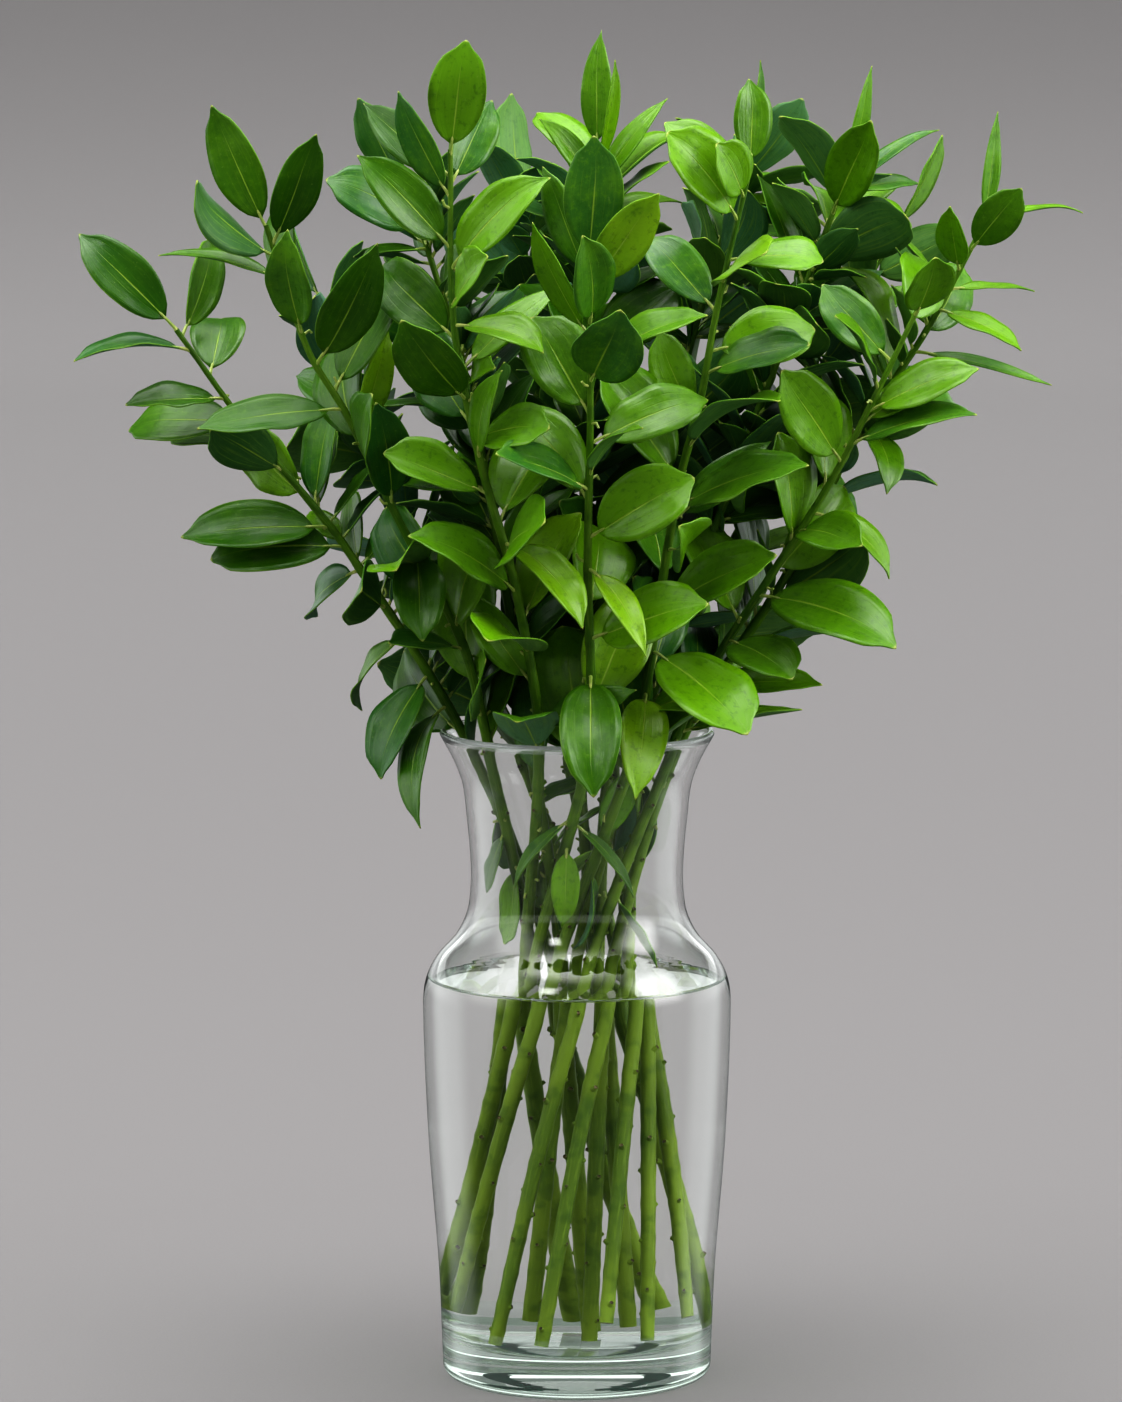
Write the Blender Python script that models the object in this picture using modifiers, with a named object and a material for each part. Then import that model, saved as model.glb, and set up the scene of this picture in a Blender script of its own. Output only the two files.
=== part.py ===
"""Cut ruscus stems standing in a flared clear glass vase, half full of water.

Every size below is in millimetres and every angle in degrees. The origin is the middle of
the vase's underside, +Z is up, and the side that is seen in the photograph faces -Y.
"""

import math
import random
from collections import namedtuple

import bmesh
import bpy
from mathutils import Matrix, Vector
from mathutils.bvhtree import BVHTree

MM = 0.001

# Vase: its outside from the lip down as radius and height, then the glass's thickness
VASE_OUTSIDE = (
    (54.8, 260.6), (49.6, 251), (45.9, 241), (44.4, 229), (42.9, 213), (42.6, 201), (44.1, 189),
    (48.6, 179.5), (56.4, 170.5), (60.8, 161.5), (61.9, 150), (59.8, 97), (55.8, 45), (54.6, 17),
    (54.2, 6),
)
LIP_TOP = 262.0
WALL = 2.8
FLOOR = 16.0
FLOOR_CORNER = 8.0
FLOOR_TAPER = 0.9
FOOT_CORNER = 5.0
LIP_ROUND = ((-1.9, 0.0), (-0.7, -0.2))
CORNER_STEPS = 2
VASE_SIDES = 26

# Water: how high it stands, and the gap that touching pieces keep
WATER_LEVEL = 161.0
GAP = 0.3

# Stems: where they pass each other, how far out they do, and how far out their feet are
PINCH_HEIGHT = 168.0
OUTER_RING = 21.0
INNER_RING = 9.0
OUTER_FEET = 41.0
INNER_FEET = 17.0
STEM_RADIUS_AT_FOOT = 2.7
STEM_RADIUS_AT_TIP = 0.95
STEM_TAPER = 1.6
STEM_STEP = 30.0
ROD_SIDES = 6
HOLE_SHARE = 1.05

# Leaves: typical sizes and how they are set on their stem
LEAF_LENGTH = 55.0
LEAF_LENGTH_AT_TOP = 44.0
LEAF_WIDTH_SHARE = 0.53
NARROW_WIDTH_SHARE = 0.3
NARROW_ONE_IN = 9
LEAF_SPACING = 13.4
LEAF_TURN = 137.5
LEAF_OPENING = 48.0
LEAF_CURL = 0.55
LEAF_FOLD = 0.22
LEAF_HALF_THICKNESS = 0.65
STALK_SHARE = 0.12
STALK_HALF_WIDTH = 0.75
BLADE_STATIONS = (0.3, 0.68)
END_LEAF_WIDTH_SHARE = 0.42
LAST_LEAF_GAP = 8.0
LEAF_FREE_END = 6.0
NEAREST_LEAVES = 0.35
UNEVEN_SPACING = 0.2
UNEVEN_TURN = 18.0

# Room for leaves: tries at each place, the way between blades, and how far the leaves reach
TRIES = 45
CLEARANCE = 0.5
LOWEST_RULE_LEAF = 245.0
LOWEST_TIP = 272.0
RIM_CLEARANCE = 8.0
REACH = Vector((184.0, 126.0, 524.0))
SEED = 41

Stem = namedtuple("Stem", "name ring foot_height route")
Leaf = namedtuple("Leaf", "root tip facing width curl fold twist")

# Each stem's way up from the vase's mouth, chosen by eye. Its lower end follows from the first point.
STEMS = (
    Stem("ruscus_stem_01", "outer", 24,
         [(-43, -2, 256), (-91, -8, 335), (-110, -11, 360), (-130, -14, 384), (-158, -20, 424)]),
    Stem("ruscus_stem_02", "outer", 19,
         [(-36, -20, 262), (-46, -27, 302), (-70, -38, 350), (-91, -45, 394), (-105, -49, 418),
          (-121, -54, 467)]),
    Stem("ruscus_stem_03", "outer", 22,
         [(-15, -40, 262), (-24, -50, 324), (-38, -58, 376), (-48, -65, 431), (-49, -72, 497)]),
    Stem("ruscus_stem_04", "outer", 31,
         [(4, -42, 260), (4, -60, 337), (5, -74, 401), (4, -84, 455)]),
    Stem("ruscus_stem_05", "outer", 28,
         [(23, -33, 262), (31, -40, 311), (40, -49, 367), (48, -54, 399), (54, -58, 434), (67, -64, 491)]),
    Stem("ruscus_stem_06", "outer", 18,
         [(39, -13, 260), (50, -15, 284), (73, -21, 321), (100, -29, 365), (116, -34, 397), (133, -38, 433)]),
    Stem("ruscus_stem_07", "outer", 20,
         [(42, 8, 257), (83, 10, 322), (111, 9, 378), (139, 5, 422), (163, 0, 468)]),
    Stem("ruscus_stem_08", "inner", 18, [(-19, -6, 259), (-42, -10, 395), (-66, -10, 478)]),
    Stem("ruscus_stem_09", "inner", 23, [(1, 13, 257), (4, 17, 393), (8, 20, 493)]),
    Stem("ruscus_stem_10", "inner", 19, [(14, 14, 258), (40, 28, 393), (68, 45, 486)]),
    Stem("ruscus_stem_11", "inner", 26, [(24, -10, 259), (66, 0, 374), (108, 5, 486)]),
    Stem("ruscus_stem_12", "outer", 30, [(29, 26, 256), (82, 42, 371), (130, 52, 462)]),
    Stem("ruscus_stem_13", "outer", 21, [(16, 36, 254), (38, 68, 369), (60, 96, 458)]),
    Stem("ruscus_stem_14", "outer", 27, [(-5, 39, 254), (-14, 68, 369), (-23, 88, 470)]),
    Stem("ruscus_stem_15", "outer", 17, [(-26, 30, 254), (-70, 46, 345), (-104, 58, 432)]),
)

# Leaves that the eye meets first, set by hand: height of the root on its stem, the tip's place,
# the width, where the upper face looks (0 is the front, 90 is +X, then degrees upward), the curl
SET_LEAVES = {
    "ruscus_stem_01": (
        (424, (-197, -20, 462), 21, -10, 35, 0.3),
        (415, (-198, -28, 412), 20, -20, 80, 0.8),
        (421, (-144, 4, 460), 20, 70, 20, 0.3),
        (396, (-178, -25, 395), 20, 0, 65, 0.3),
        (405, (-141, 12, 428), 22, 0, 30, 0.5),
        (344, (-157, -22, 342), 24, 0, 45, 0.5),
        (378, (-164, 16, 379), 20, 0, 60, 0.4),
        (327, (-108, 24, 305), 20, -30, 40, 0.9),
        (285, (-80, -24, 246), 22, -35, 25, 0.8),
        (300, (-90, 18, 268), 17, -80, 30, 0.9),
        (272, (-62, -38, 228), 17, -50, 25, 1.5),
    ),
    "ruscus_stem_02": (
        (394, (-148, -62, 388), 21, -10, 50, 0.4),
        (445, (-163, -50, 456), 14, 0, 75, 0.5),
        (464, (-142, -50, 513), 20, -20, 10, 0.2),
        (459, (-102, -62, 503), 19, 30, 5, 0.3),
        (424, (-114, -74, 465), 18, -20, 15, 0.3),
        (412, (-77, -72, 460), 22, 25, 20, 0.4),
        (356, (-78, -64, 399), 20, 20, 15, 0.4),
        (384, (-74, -46, 426), 14, 40, 10, 0.3),
        (338, (-62, -68, 306), 21, 10, 30, 1.0),
        (297, (-74, -50, 303), 18, -20, 60, 0.5),
    ),
    "ruscus_stem_03": (
        (494, (-44, -82, 539), 22, 0, 5, 0.2),
        (483, (-34, -52, 515), 18, 20, 15, 0.3),
        (486, (-83, -50, 514), 16, -25, 20, 0.3),
        (478, (-70, -70, 519), 15, -40, 15, 0.3),
        (458, (-84, -76, 496), 20, -20, 40, 0.4),
        (450, (-12, -82, 489), 21, 25, 45, 0.7),
        (428, (-12, -86, 422), 19, 10, 60, 0.6),
        (384, (-11, -86, 391), 22, 0, 40, 0.5),
        (342, (3, -88, 314), 19, 25, 50, 1.1),
        (322, (-64, -78, 350), 25, -10, 45, 0.6),
    ),
    "ruscus_stem_04": (
        (453, (8, -92, 503), 23, 0, 5, 0.3),
        (448, (-12, -74, 491), 16, -45, 10, 0.3),
        (444, (30, -96, 482), 19, 30, 30, 0.4),
        (430, (2, -112, 467), 20, 10, 35, 0.5),
        (425, (-18, -90, 470), 15, -50, 20, 0.3),
        (414, (50, -90, 435), 20, 5, 60, 0.5),
        (369, (25, -100, 392), 15, 20, 50, 0.9),
        (364, (-31, -94, 380), 24, -10, 50, 0.5),
        (333, (26, -88, 302), 13, 30, 20, 1.0),
        (290, (5, -86, 247), 24, 0, 35, 1.2),
        (231, (-25, -25, 203), 7, -40, 45, 0.9),
        (229, (22, -26, 198), 7, 40, 45, 0.9),
        (221, (-5, -34, 187), 11, 0, 30, 0.7),
    ),
    "ruscus_stem_05": (
        (489, (68, -60, 524), 16, 20, 10, 0.2),
        (478, (54, -84, 499), 20, 10, 25, 0.4),
        (482, (34, -50, 507), 19, 0, 40, 0.4),
        (453, (95, -70, 455), 22, 10, 60, 0.5),
        (409, (90, -70, 421), 23, 10, 50, 0.5),
        (391, (31, -40, 425), 18, -30, 20, 0.3),
        (355, (90, -80, 377), 27, 10, 50, 0.5),
        (313, (78, -62, 339), 27, 20, 50, 0.5),
        (298, (66, -80, 272), 33, 15, 40, 0.6),
        (281, (22, -78, 245), 19, 10, 30, 1.2),
    ),
    "ruscus_stem_06": (
        (431, (139, -62, 455), 21, 20, 25, 0.4),
        (412, (96, -18, 441), 19, -20, 30, 0.3),
        (392, (157, -38, 411), 21, 10, 50, 0.4),
        (379, (156, -48, 394), 20, 10, 60, 0.5),
        (372, (78, -54, 410), 25, 10, 20, 0.4),
        (352, (124, -22, 326), 19, 60, 30, 1.2),
        (344, (110, -66, 342), 21, -20, 50, 0.8),
        (318, (126, -58, 304), 31, 5, 45, 0.7),
        (300, (84, -54, 290), 26, 10, 45, 0.5),
        (280, (97, -30, 284), 18, 20, 55, 0.5),
    ),
    "ruscus_stem_07": (
        (466, (201, 5, 472), 9, 0, 80, 0.3),
        (464, (166, 4, 509), 8, 30, 10, 0.2),
        (454, (175, -14, 479), 17, 20, 20, 0.3),
        (446, (146, -22, 473), 13, -20, 10, 0.3),
        (438, (183, 14, 438), 10, 0, 75, 0.3),
        (430, (176, -16, 417), 14, 20, 60, 0.4),
        (413, (188, -4, 400), 9, 0, 70, 0.4),
        (384, (124, -26, 361), 16, 40, 30, 0.8),
    ),
    "ruscus_stem_09": (
        (491, (8, 20, 541), 13, 0, 5, 0.2),
        (483, (16, 8, 529), 10, 60, 5, 0.2),
        (476, (36, 27, 514), 10, 20, 60, 0.5),
        (479, (-14, 14, 507), 11, -20, 50, 0.4),
    ),
    "ruscus_stem_10": (
        (484, (75, 45, 528), 8, 60, 0, 0.2),
    ),
    "ruscus_stem_11": (
        (484, (116, 5, 527), 8, 40, 10, 0.3),
        (476, (143, 15, 504), 9, 10, 75, 0.3),
        (468, (117, -24, 506), 21, -10, 20, 0.3),
    ),
}

# Colours, then roughness
GLASS = ((0.86, 0.93, 0.90, 1.0), 0.02)
WATER = ((0.85, 0.92, 0.90, 1.0), 0.03)
LEAF_GREEN = ((0.045, 0.16, 0.03, 1.0), 0.38)


def material(name, colour, roughness):
    made = bpy.data.materials.new(name)
    made.use_nodes = True
    finish = made.node_tree.nodes["Principled BSDF"]
    finish.inputs["Base Color"].default_value = colour
    finish.inputs["Roughness"].default_value = roughness
    finish.inputs["Metallic"].default_value = 0.0
    return made


def collection(name):
    made = bpy.data.collections.new(name)
    bpy.context.scene.collection.children.link(made)
    return made


def put(name, mesh, where, finish=None):
    thing = bpy.data.objects.new(name, mesh)
    where.objects.link(thing)
    if finish is not None:
        mesh.materials.clear()
        mesh.materials.append(finish)
    return thing


def settled_mesh(thing):
    """The object's mesh with its modifiers applied and its caps welded on."""
    bpy.context.view_layer.update()
    seen = thing.evaluated_get(bpy.context.evaluated_depsgraph_get())
    mesh = bpy.data.meshes.new_from_object(seen)
    shaped = bmesh.new()
    shaped.from_mesh(mesh)
    bmesh.ops.remove_doubles(shaped, verts=shaped.verts, dist=1e-6)
    bmesh.ops.recalc_face_normals(shaped, faces=shaped.faces)
    shaped.to_mesh(mesh)
    shaped.free()
    return mesh


def shade(mesh, angle=35):
    mesh.shade_smooth()
    mesh.set_sharp_from_angle(angle=math.radians(angle))


def inward(points, distance):
    """The outline moved toward the axis by a distance measured square to it."""
    moved = []
    for i, (radius, height) in enumerate(points):
        above = points[max(i - 1, 0)]
        below = points[min(i + 1, len(points) - 1)]
        run = Vector((below[0] - above[0], below[1] - above[1])).normalized()
        moved.append((radius + run.y * distance, height - run.x * distance))
    return moved


def corner(radius, height, size):
    """A round inside corner, from the wall down to the floor."""
    points = []
    for i in range(CORNER_STEPS + 1):
        angle = math.radians(90 * i / CORNER_STEPS)
        points.append((radius - size + size * math.cos(angle), height + size - size * math.sin(angle)))
    return points


def inner_side(gap):
    """The inside of the vase from the lip down to the middle of its floor, a gap clear of it."""
    wall = inward(VASE_OUTSIDE, WALL + gap)
    floor = FLOOR + gap
    straight = [point for point in wall if point[1] > floor + FLOOR_CORNER + 2]
    lowest = straight[-1][0]
    return straight + corner(lowest - FLOOR_TAPER, floor, FLOOR_CORNER) + [(0, floor)]


def radius_at(outline, height):
    for (upper_radius, upper), (lower_radius, lower) in zip(outline, outline[1:]):
        if upper >= height >= lower:
            share = (upper - height) / (upper - lower)
            return upper_radius + (lower_radius - upper_radius) * share
    return outline[-1][0]


def turned(name, outline):
    """A solid turned about the Z axis from an outline that runs down its outer side."""
    mesh = bpy.data.meshes.new(name)
    corners = [(radius * MM, 0, height * MM) for radius, height in outline]
    mesh.from_pydata(corners, [(i, i + 1) for i in range(len(corners) - 1)], [])
    blank = put(name + "_blank", mesh, bpy.context.scene.collection)
    screw = blank.modifiers.new("turn", "SCREW")
    screw.steps = VASE_SIDES
    screw.render_steps = VASE_SIDES
    screw.use_merge_vertices = True
    screw.merge_threshold = 0.00001
    shape = settled_mesh(blank)
    bpy.data.objects.remove(blank)
    return shape


def vase_mesh():
    """The glass: up the inside from its floor, over the lip and down the outside to the foot."""
    inside = inner_side(0)
    inside.reverse()
    lip = [(VASE_OUTSIDE[0][0] + across, LIP_TOP + up) for across, up in LIP_ROUND]
    foot_radius = VASE_OUTSIDE[-1][0]
    foot = corner(foot_radius, 0, FOOT_CORNER)[1:]
    return turned("vase", inside + lip + list(VASE_OUTSIDE) + foot + [(0, 0)])


def water_mesh():
    side = inner_side(GAP)
    wet = [point for point in side if point[1] < WATER_LEVEL - 1]
    edge = (radius_at(side, WATER_LEVEL), WATER_LEVEL)
    return turned("water", [(0, WATER_LEVEL), edge] + wet)


def curve_through(points, step):
    """Places about a step apart on a smooth curve through the points."""
    spots = [Vector(point) for point in points]
    along = [0.0]
    for a, b in zip(spots, spots[1:]):
        along.append(along[-1] + (b - a).length)
    last = len(spots) - 1
    slopes = []
    for i in range(last + 1):
        before = max(i - 1, 0)
        after = min(i + 1, last)
        slopes.append((spots[after] - spots[before]) / (along[after] - along[before]))
    places = [spots[0]]
    for i in range(last):
        span = along[i + 1] - along[i]
        count = max(1, round(span / step))
        for j in range(1, count + 1):
            t = j / count
            places.append(
                spots[i] * (2 * t**3 - 3 * t**2 + 1)
                + slopes[i] * span * (t**3 - 2 * t**2 + t)
                + spots[i + 1] * (3 * t**2 - 2 * t**3)
                + slopes[i + 1] * span * (t**3 - t**2)
            )
    return places


def foot_and_pinch(stem):
    """The stems cross the vase's axis all turned the same way, like the rods of a twisted stand.

    So no two of them meet, though all of them pass through the narrow neck.
    """
    outer = stem.ring == "outer"
    ring = OUTER_RING if outer else INNER_RING
    feet = OUTER_FEET if outer else INNER_FEET
    mouth = Vector(stem.route[0])
    radius = math.hypot(mouth.x, mouth.y)
    bearing = math.atan2(mouth.x, -mouth.y) - math.acos(min(1.0, ring / radius))
    pinch = Vector((ring * math.sin(bearing), -ring * math.cos(bearing), PINCH_HEIGHT))
    sideways = Vector((math.cos(bearing), math.sin(bearing), 0))
    foot = pinch - sideways * math.sqrt(feet**2 - ring**2)
    foot.z = stem.foot_height
    return foot, pinch


def way(stem, step):
    """Places along the stem from its cut foot to its tip."""
    foot, pinch = foot_and_pinch(stem)
    dry = curve_through([foot, pinch] + list(stem.route), step)
    return [foot] + [place for place in dry if place.z >= pinch.z - 1]


def lengths(places):
    run = [0.0]
    for a, b in zip(places, places[1:]):
        run.append(run[-1] + (b - a).length)
    return run


def thickness(share):
    """The stem's radius at a share of its length."""
    return STEM_RADIUS_AT_FOOT + (STEM_RADIUS_AT_TIP - STEM_RADIUS_AT_FOOT) * share**STEM_TAPER


def rod(name, places, radii):
    """A round rod through the places."""
    line = bpy.data.curves.new(name, "CURVE")
    line.dimensions = "3D"
    line.bevel_depth = MM
    line.bevel_resolution = (ROD_SIDES - 4) // 2
    line.use_fill_caps = True
    spline = line.splines.new("POLY")
    spline.points.add(len(places) - 1)
    for point, place, radius in zip(spline.points, places, radii):
        point.co = (*(place * MM), 1)
        point.radius = radius
    thing = bpy.data.objects.new(name, line)
    bpy.context.scene.collection.objects.link(thing)
    mesh = settled_mesh(thing)
    bpy.data.objects.remove(thing)
    return mesh


def at_length(places, length):
    """The place and the heading at a length along the stem."""
    for a, b in zip(places, places[1:]):
        span = (b - a).length
        if length <= span:
            return a.lerp(b, length / span), (b - a).normalized()
        length -= span
    return places[-1].copy(), (places[-1] - places[-2]).normalized()


def length_at_height(places, height):
    run = 0.0
    for a, b in zip(places, places[1:]):
        if a.z <= height <= b.z:
            return run + (b - a).length * (height - a.z) / (b.z - a.z)
        run += (b - a).length
    return run


def looking(bearing, rise):
    """A direction from a bearing, 0 toward the front and 90 toward +X, and degrees upward."""
    a = math.radians(bearing)
    b = math.radians(rise)
    return Vector((math.sin(a) * math.cos(b), -math.cos(a) * math.cos(b), math.sin(b)))


def outline(share):
    """Half the blade's width at a share of its length, as a part of its whole width."""
    return 1.497 * share**0.7 * (1 - share) ** 0.9


def midrib(leaf, share):
    """The place, heading, face and side of the leaf at a share of its length from the stem."""
    chord = leaf.tip - leaf.root
    forward = chord.normalized()
    facing = (leaf.facing - forward * leaf.facing.dot(forward)).normalized()
    half = leaf.curl / 2
    lean = half - leaf.curl * share
    run = (math.sin(half) - math.sin(lean)) / (2 * math.sin(half))
    rise = (math.cos(lean) - math.cos(half)) / (2 * math.sin(half))
    place = leaf.root + chord * run + facing * chord.length * rise
    heading = forward * math.cos(lean) + facing * math.sin(lean)
    face = facing * math.cos(lean) - forward * math.sin(lean)
    turn = Matrix.Rotation(leaf.twist * (share - 0.3), 3, heading)
    face = turn @ face
    return place, heading, face, heading.cross(face)


def blade_corners(leaf, swell=0.0):
    """Three corners at the root and at the stalk's end, four at each station of the blade, the tip."""
    corners = []
    half = LEAF_HALF_THICKNESS + swell
    for share in (0.0, STALK_SHARE):
        place, _, face, side = midrib(leaf, share)
        across = side * (STALK_HALF_WIDTH + swell)
        corners += [place - across + face * half, place + across + face * half, place - face * half]
    for station in BLADE_STATIONS:
        place, _, face, side = midrib(leaf, STALK_SHARE + (1 - STALK_SHARE) * station)
        half_width = leaf.width * outline(station)
        across = side * (half_width + swell)
        raised = face * (leaf.fold * half_width)
        corners += [place - across + raised, place + face * half]
        corners += [place + across + raised, place - face * half]
    return corners + [leaf.tip]


def split_alike(a, b):
    """Triangles from the blade's station at corner a to the one at b, both faces split alike."""
    left = [(a, a + 1, b + 1), (a, b + 1, b), (a, b + 3, a + 3), (a, b, b + 3)]
    right = [(a + 2, b + 1, a + 1), (a + 2, b + 2, b + 1), (a + 2, a + 3, b + 3), (a + 2, b + 3, b + 2)]
    return left + right


STALK_FACES = [
    (0, 2, 1), (0, 1, 4), (0, 4, 3), (0, 5, 2), (0, 3, 5), (1, 2, 5), (1, 5, 4),
    (3, 4, 7), (3, 7, 6), (4, 8, 7), (3, 9, 5), (3, 6, 9), (4, 5, 9), (4, 9, 8),
]
BLADE_FACES = split_alike(6, 10) + [(10, 11, 14), (11, 12, 14), (12, 13, 14), (13, 10, 14)]


class Clearing:
    """What stands where, so that every new leaf is set clear of the rest."""

    def __init__(self, vase, stem_meshes):
        self.vase = self.tree_of(vase)
        self.stems = {name: self.tree_of(mesh) for name, mesh in stem_meshes.items()}
        self.leaves = []

    @staticmethod
    def tree_of(mesh):
        corners = [vertex.co / MM for vertex in mesh.vertices]
        return BVHTree.FromPolygons(corners, [tuple(face.vertices) for face in mesh.polygons])

    @staticmethod
    def ball(leaf):
        return (leaf.root + leaf.tip) / 2, (leaf.tip - leaf.root).length * 0.62 + 2

    def is_clear(self, stem_name, leaf):
        corners = blade_corners(leaf, CLEARANCE)
        whole = BVHTree.FromPolygons(corners, STALK_FACES + BLADE_FACES, all_triangles=True)
        outer = BVHTree.FromPolygons(corners, BLADE_FACES, all_triangles=True)
        if whole.overlap(self.vase):
            return False
        for name, tree in self.stems.items():
            if (outer if name == stem_name else whole).overlap(tree):
                return False
        middle, reach = self.ball(leaf)
        for name, other_middle, other_reach, tree, outer_tree in self.leaves:
            if (middle - other_middle).length > reach + other_reach:
                continue
            if name == stem_name:
                if outer.overlap(tree) or whole.overlap(outer_tree):
                    return False
            elif whole.overlap(tree):
                return False
        return True

    def add(self, stem_name, leaf):
        corners = blade_corners(leaf)
        whole = BVHTree.FromPolygons(corners, STALK_FACES + BLADE_FACES, all_triangles=True)
        outer = BVHTree.FromPolygons(corners, BLADE_FACES, all_triangles=True)
        self.leaves.append((stem_name, *self.ball(leaf), whole, outer))


def set_leaf(places, row, attempt, draw):
    """A leaf set by hand, moved a little more on each new try."""
    height, tip, width, bearing, rise, curl = row
    root, _ = at_length(places, length_at_height(places, height))
    shift = 0.9 * attempt**0.8
    nudge = Vector([draw.uniform(-1, 1) * shift for _ in range(3)])
    facing = looking(bearing + draw.uniform(-1, 1) * 3 * shift, rise + draw.uniform(-1, 1) * 2 * shift)
    fold = draw.uniform(0.1, 0.3)
    twist = draw.uniform(-0.3, 0.3)
    return Leaf(root, Vector(tip) + nudge, facing, width, curl, fold, twist)


def rule_leaf(places, length, share, turn, attempt, draw):
    """A leaf that follows the plant's habit: it opens from the stem and turns its face to the light."""
    root, heading = at_length(places, length)
    size = LEAF_LENGTH + (LEAF_LENGTH_AT_TOP - LEAF_LENGTH) * share**1.5
    size *= draw.uniform(0.86, 1.1) * (1 - 0.006 * attempt)
    narrow = draw.randrange(NARROW_ONE_IN) == 0
    width = size * (NARROW_WIDTH_SHARE if narrow else LEAF_WIDTH_SHARE) * draw.uniform(0.88, 1.12)
    opening = math.radians(LEAF_OPENING + draw.uniform(-16, 22))
    angle = math.radians(turn + draw.uniform(-1, 1) * (12 + 4 * attempt))
    side = heading.orthogonal().normalized()
    out = side * math.cos(angle) + heading.cross(side) * math.sin(angle)
    direction = heading * math.cos(opening) + out * math.sin(opening)
    away = Vector((root.x, root.y, 0)) + Vector((0, -20, 0))
    away.normalize()
    wild = Vector([draw.uniform(-1, 1) for _ in range(3)])
    facing = Vector((0, 0, 0.5)) + away * 0.85 + wild * (0.35 + 0.02 * attempt)
    curl = LEAF_CURL * draw.uniform(0.3, 1.8)
    fold = LEAF_FOLD * draw.uniform(0.3, 1.7)
    return Leaf(root, root + direction * size, facing, width, curl, fold, draw.uniform(-0.45, 0.45))


def end_leaf(places, attempt, draw):
    """The leaf that a stem ends in, nearly in line with it."""
    length = lengths(places)[-1]
    root, heading = at_length(places, length - 3)
    tilt = Vector([draw.uniform(-1, 1) for _ in range(3)]) * (0.15 + 0.02 * attempt)
    direction = (heading + tilt).normalized()
    facing = Vector((root.x, root.y, 0)).normalized() + Vector((0, -0.6, 0.2))
    size = LEAF_LENGTH_AT_TOP * draw.uniform(0.9, 1.1)
    twist = draw.uniform(-0.3, 0.3)
    return Leaf(root, root + direction * size, facing, size * END_LEAF_WIDTH_SHARE, 0.3, 0.2, twist)


def within_reach(leaf):
    tip = leaf.tip
    if abs(tip.x) > REACH.x or abs(tip.y) > REACH.y or tip.z > REACH.z:
        return False
    return tip.z > LOWEST_TIP or math.hypot(tip.x, tip.y) > VASE_OUTSIDE[0][0] + RIM_CLEARANCE


def all_leaves(ways, clearing):
    """Each stem's leaves: first those set by hand, then the rest by the rule, each clear of all."""
    grown = {stem.name: [] for stem in STEMS}
    taken = {stem.name: [] for stem in STEMS}
    draw = random.Random(SEED)
    for stem in STEMS:
        places = ways[stem.name]
        for row in SET_LEAVES.get(stem.name, ()):
            for attempt in range(TRIES):
                leaf = set_leaf(places, row, attempt, draw)
                if clearing.is_clear(stem.name, leaf):
                    clearing.add(stem.name, leaf)
                    grown[stem.name].append(leaf)
                    taken[stem.name].append(length_at_height(places, row[0]))
                    break
            else:
                print("no room for a set leaf on", stem.name, row[:2])
    for stem in STEMS:
        places = ways[stem.name]
        whole = lengths(places)[-1]
        if not any(length > whole - LAST_LEAF_GAP for length in taken[stem.name]):
            for attempt in range(TRIES):
                leaf = end_leaf(places, attempt, draw)
                if within_reach(leaf) and clearing.is_clear(stem.name, leaf):
                    clearing.add(stem.name, leaf)
                    grown[stem.name].append(leaf)
                    taken[stem.name].append(whole)
                    break
        first = length_at_height(places, LOWEST_RULE_LEAF)
        length = first + draw.uniform(0, LEAF_SPACING)
        turn = draw.uniform(0, 360)
        while length < whole - LEAF_FREE_END:
            if all(abs(length - other) > LEAF_SPACING * NEAREST_LEAVES for other in taken[stem.name]):
                share = (length - first) / (whole - first)
                for attempt in range(TRIES):
                    leaf = rule_leaf(places, length, share, turn, attempt, draw)
                    if within_reach(leaf) and clearing.is_clear(stem.name, leaf):
                        clearing.add(stem.name, leaf)
                        grown[stem.name].append(leaf)
                        break
            length += LEAF_SPACING * (1 + draw.uniform(-1, 1) * UNEVEN_SPACING)
            turn += LEAF_TURN + draw.uniform(-1, 1) * UNEVEN_TURN
    return grown


def joined_stem(name, stalk, leaves, where, finish):
    """The stalk and its leaves grown together into one body."""
    blades = collection(name + "_blades")
    for leaf in leaves:
        mesh = bpy.data.meshes.new("blade")
        mesh.from_pydata([place * MM for place in blade_corners(leaf)], [], STALK_FACES + BLADE_FACES)
        put("blade", mesh, blades)
    blank = put(name + "_stalk", stalk, bpy.context.scene.collection)
    join = blank.modifiers.new("join", "BOOLEAN")
    join.operation = "UNION"
    join.operand_type = "COLLECTION"
    join.collection = blades
    join.solver = "MANIFOLD"
    mesh = settled_mesh(blank)
    bpy.data.objects.remove(blank)
    for thing in list(blades.objects):
        bpy.data.objects.remove(thing)
    bpy.data.collections.remove(blades)
    shade(mesh)
    return put(name, mesh, where, finish)


for thing in list(bpy.data.objects):
    bpy.data.objects.remove(thing, do_unlink=True)

bunch = collection("ruscus_in_vase")
glass = material("glass", *GLASS)
clear_water = material("water", *WATER)
leaf_green = material("leaf_green", *LEAF_GREEN)

vase_shape = vase_mesh()
shade(vase_shape)
put("vase", vase_shape, bunch, glass)

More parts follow.
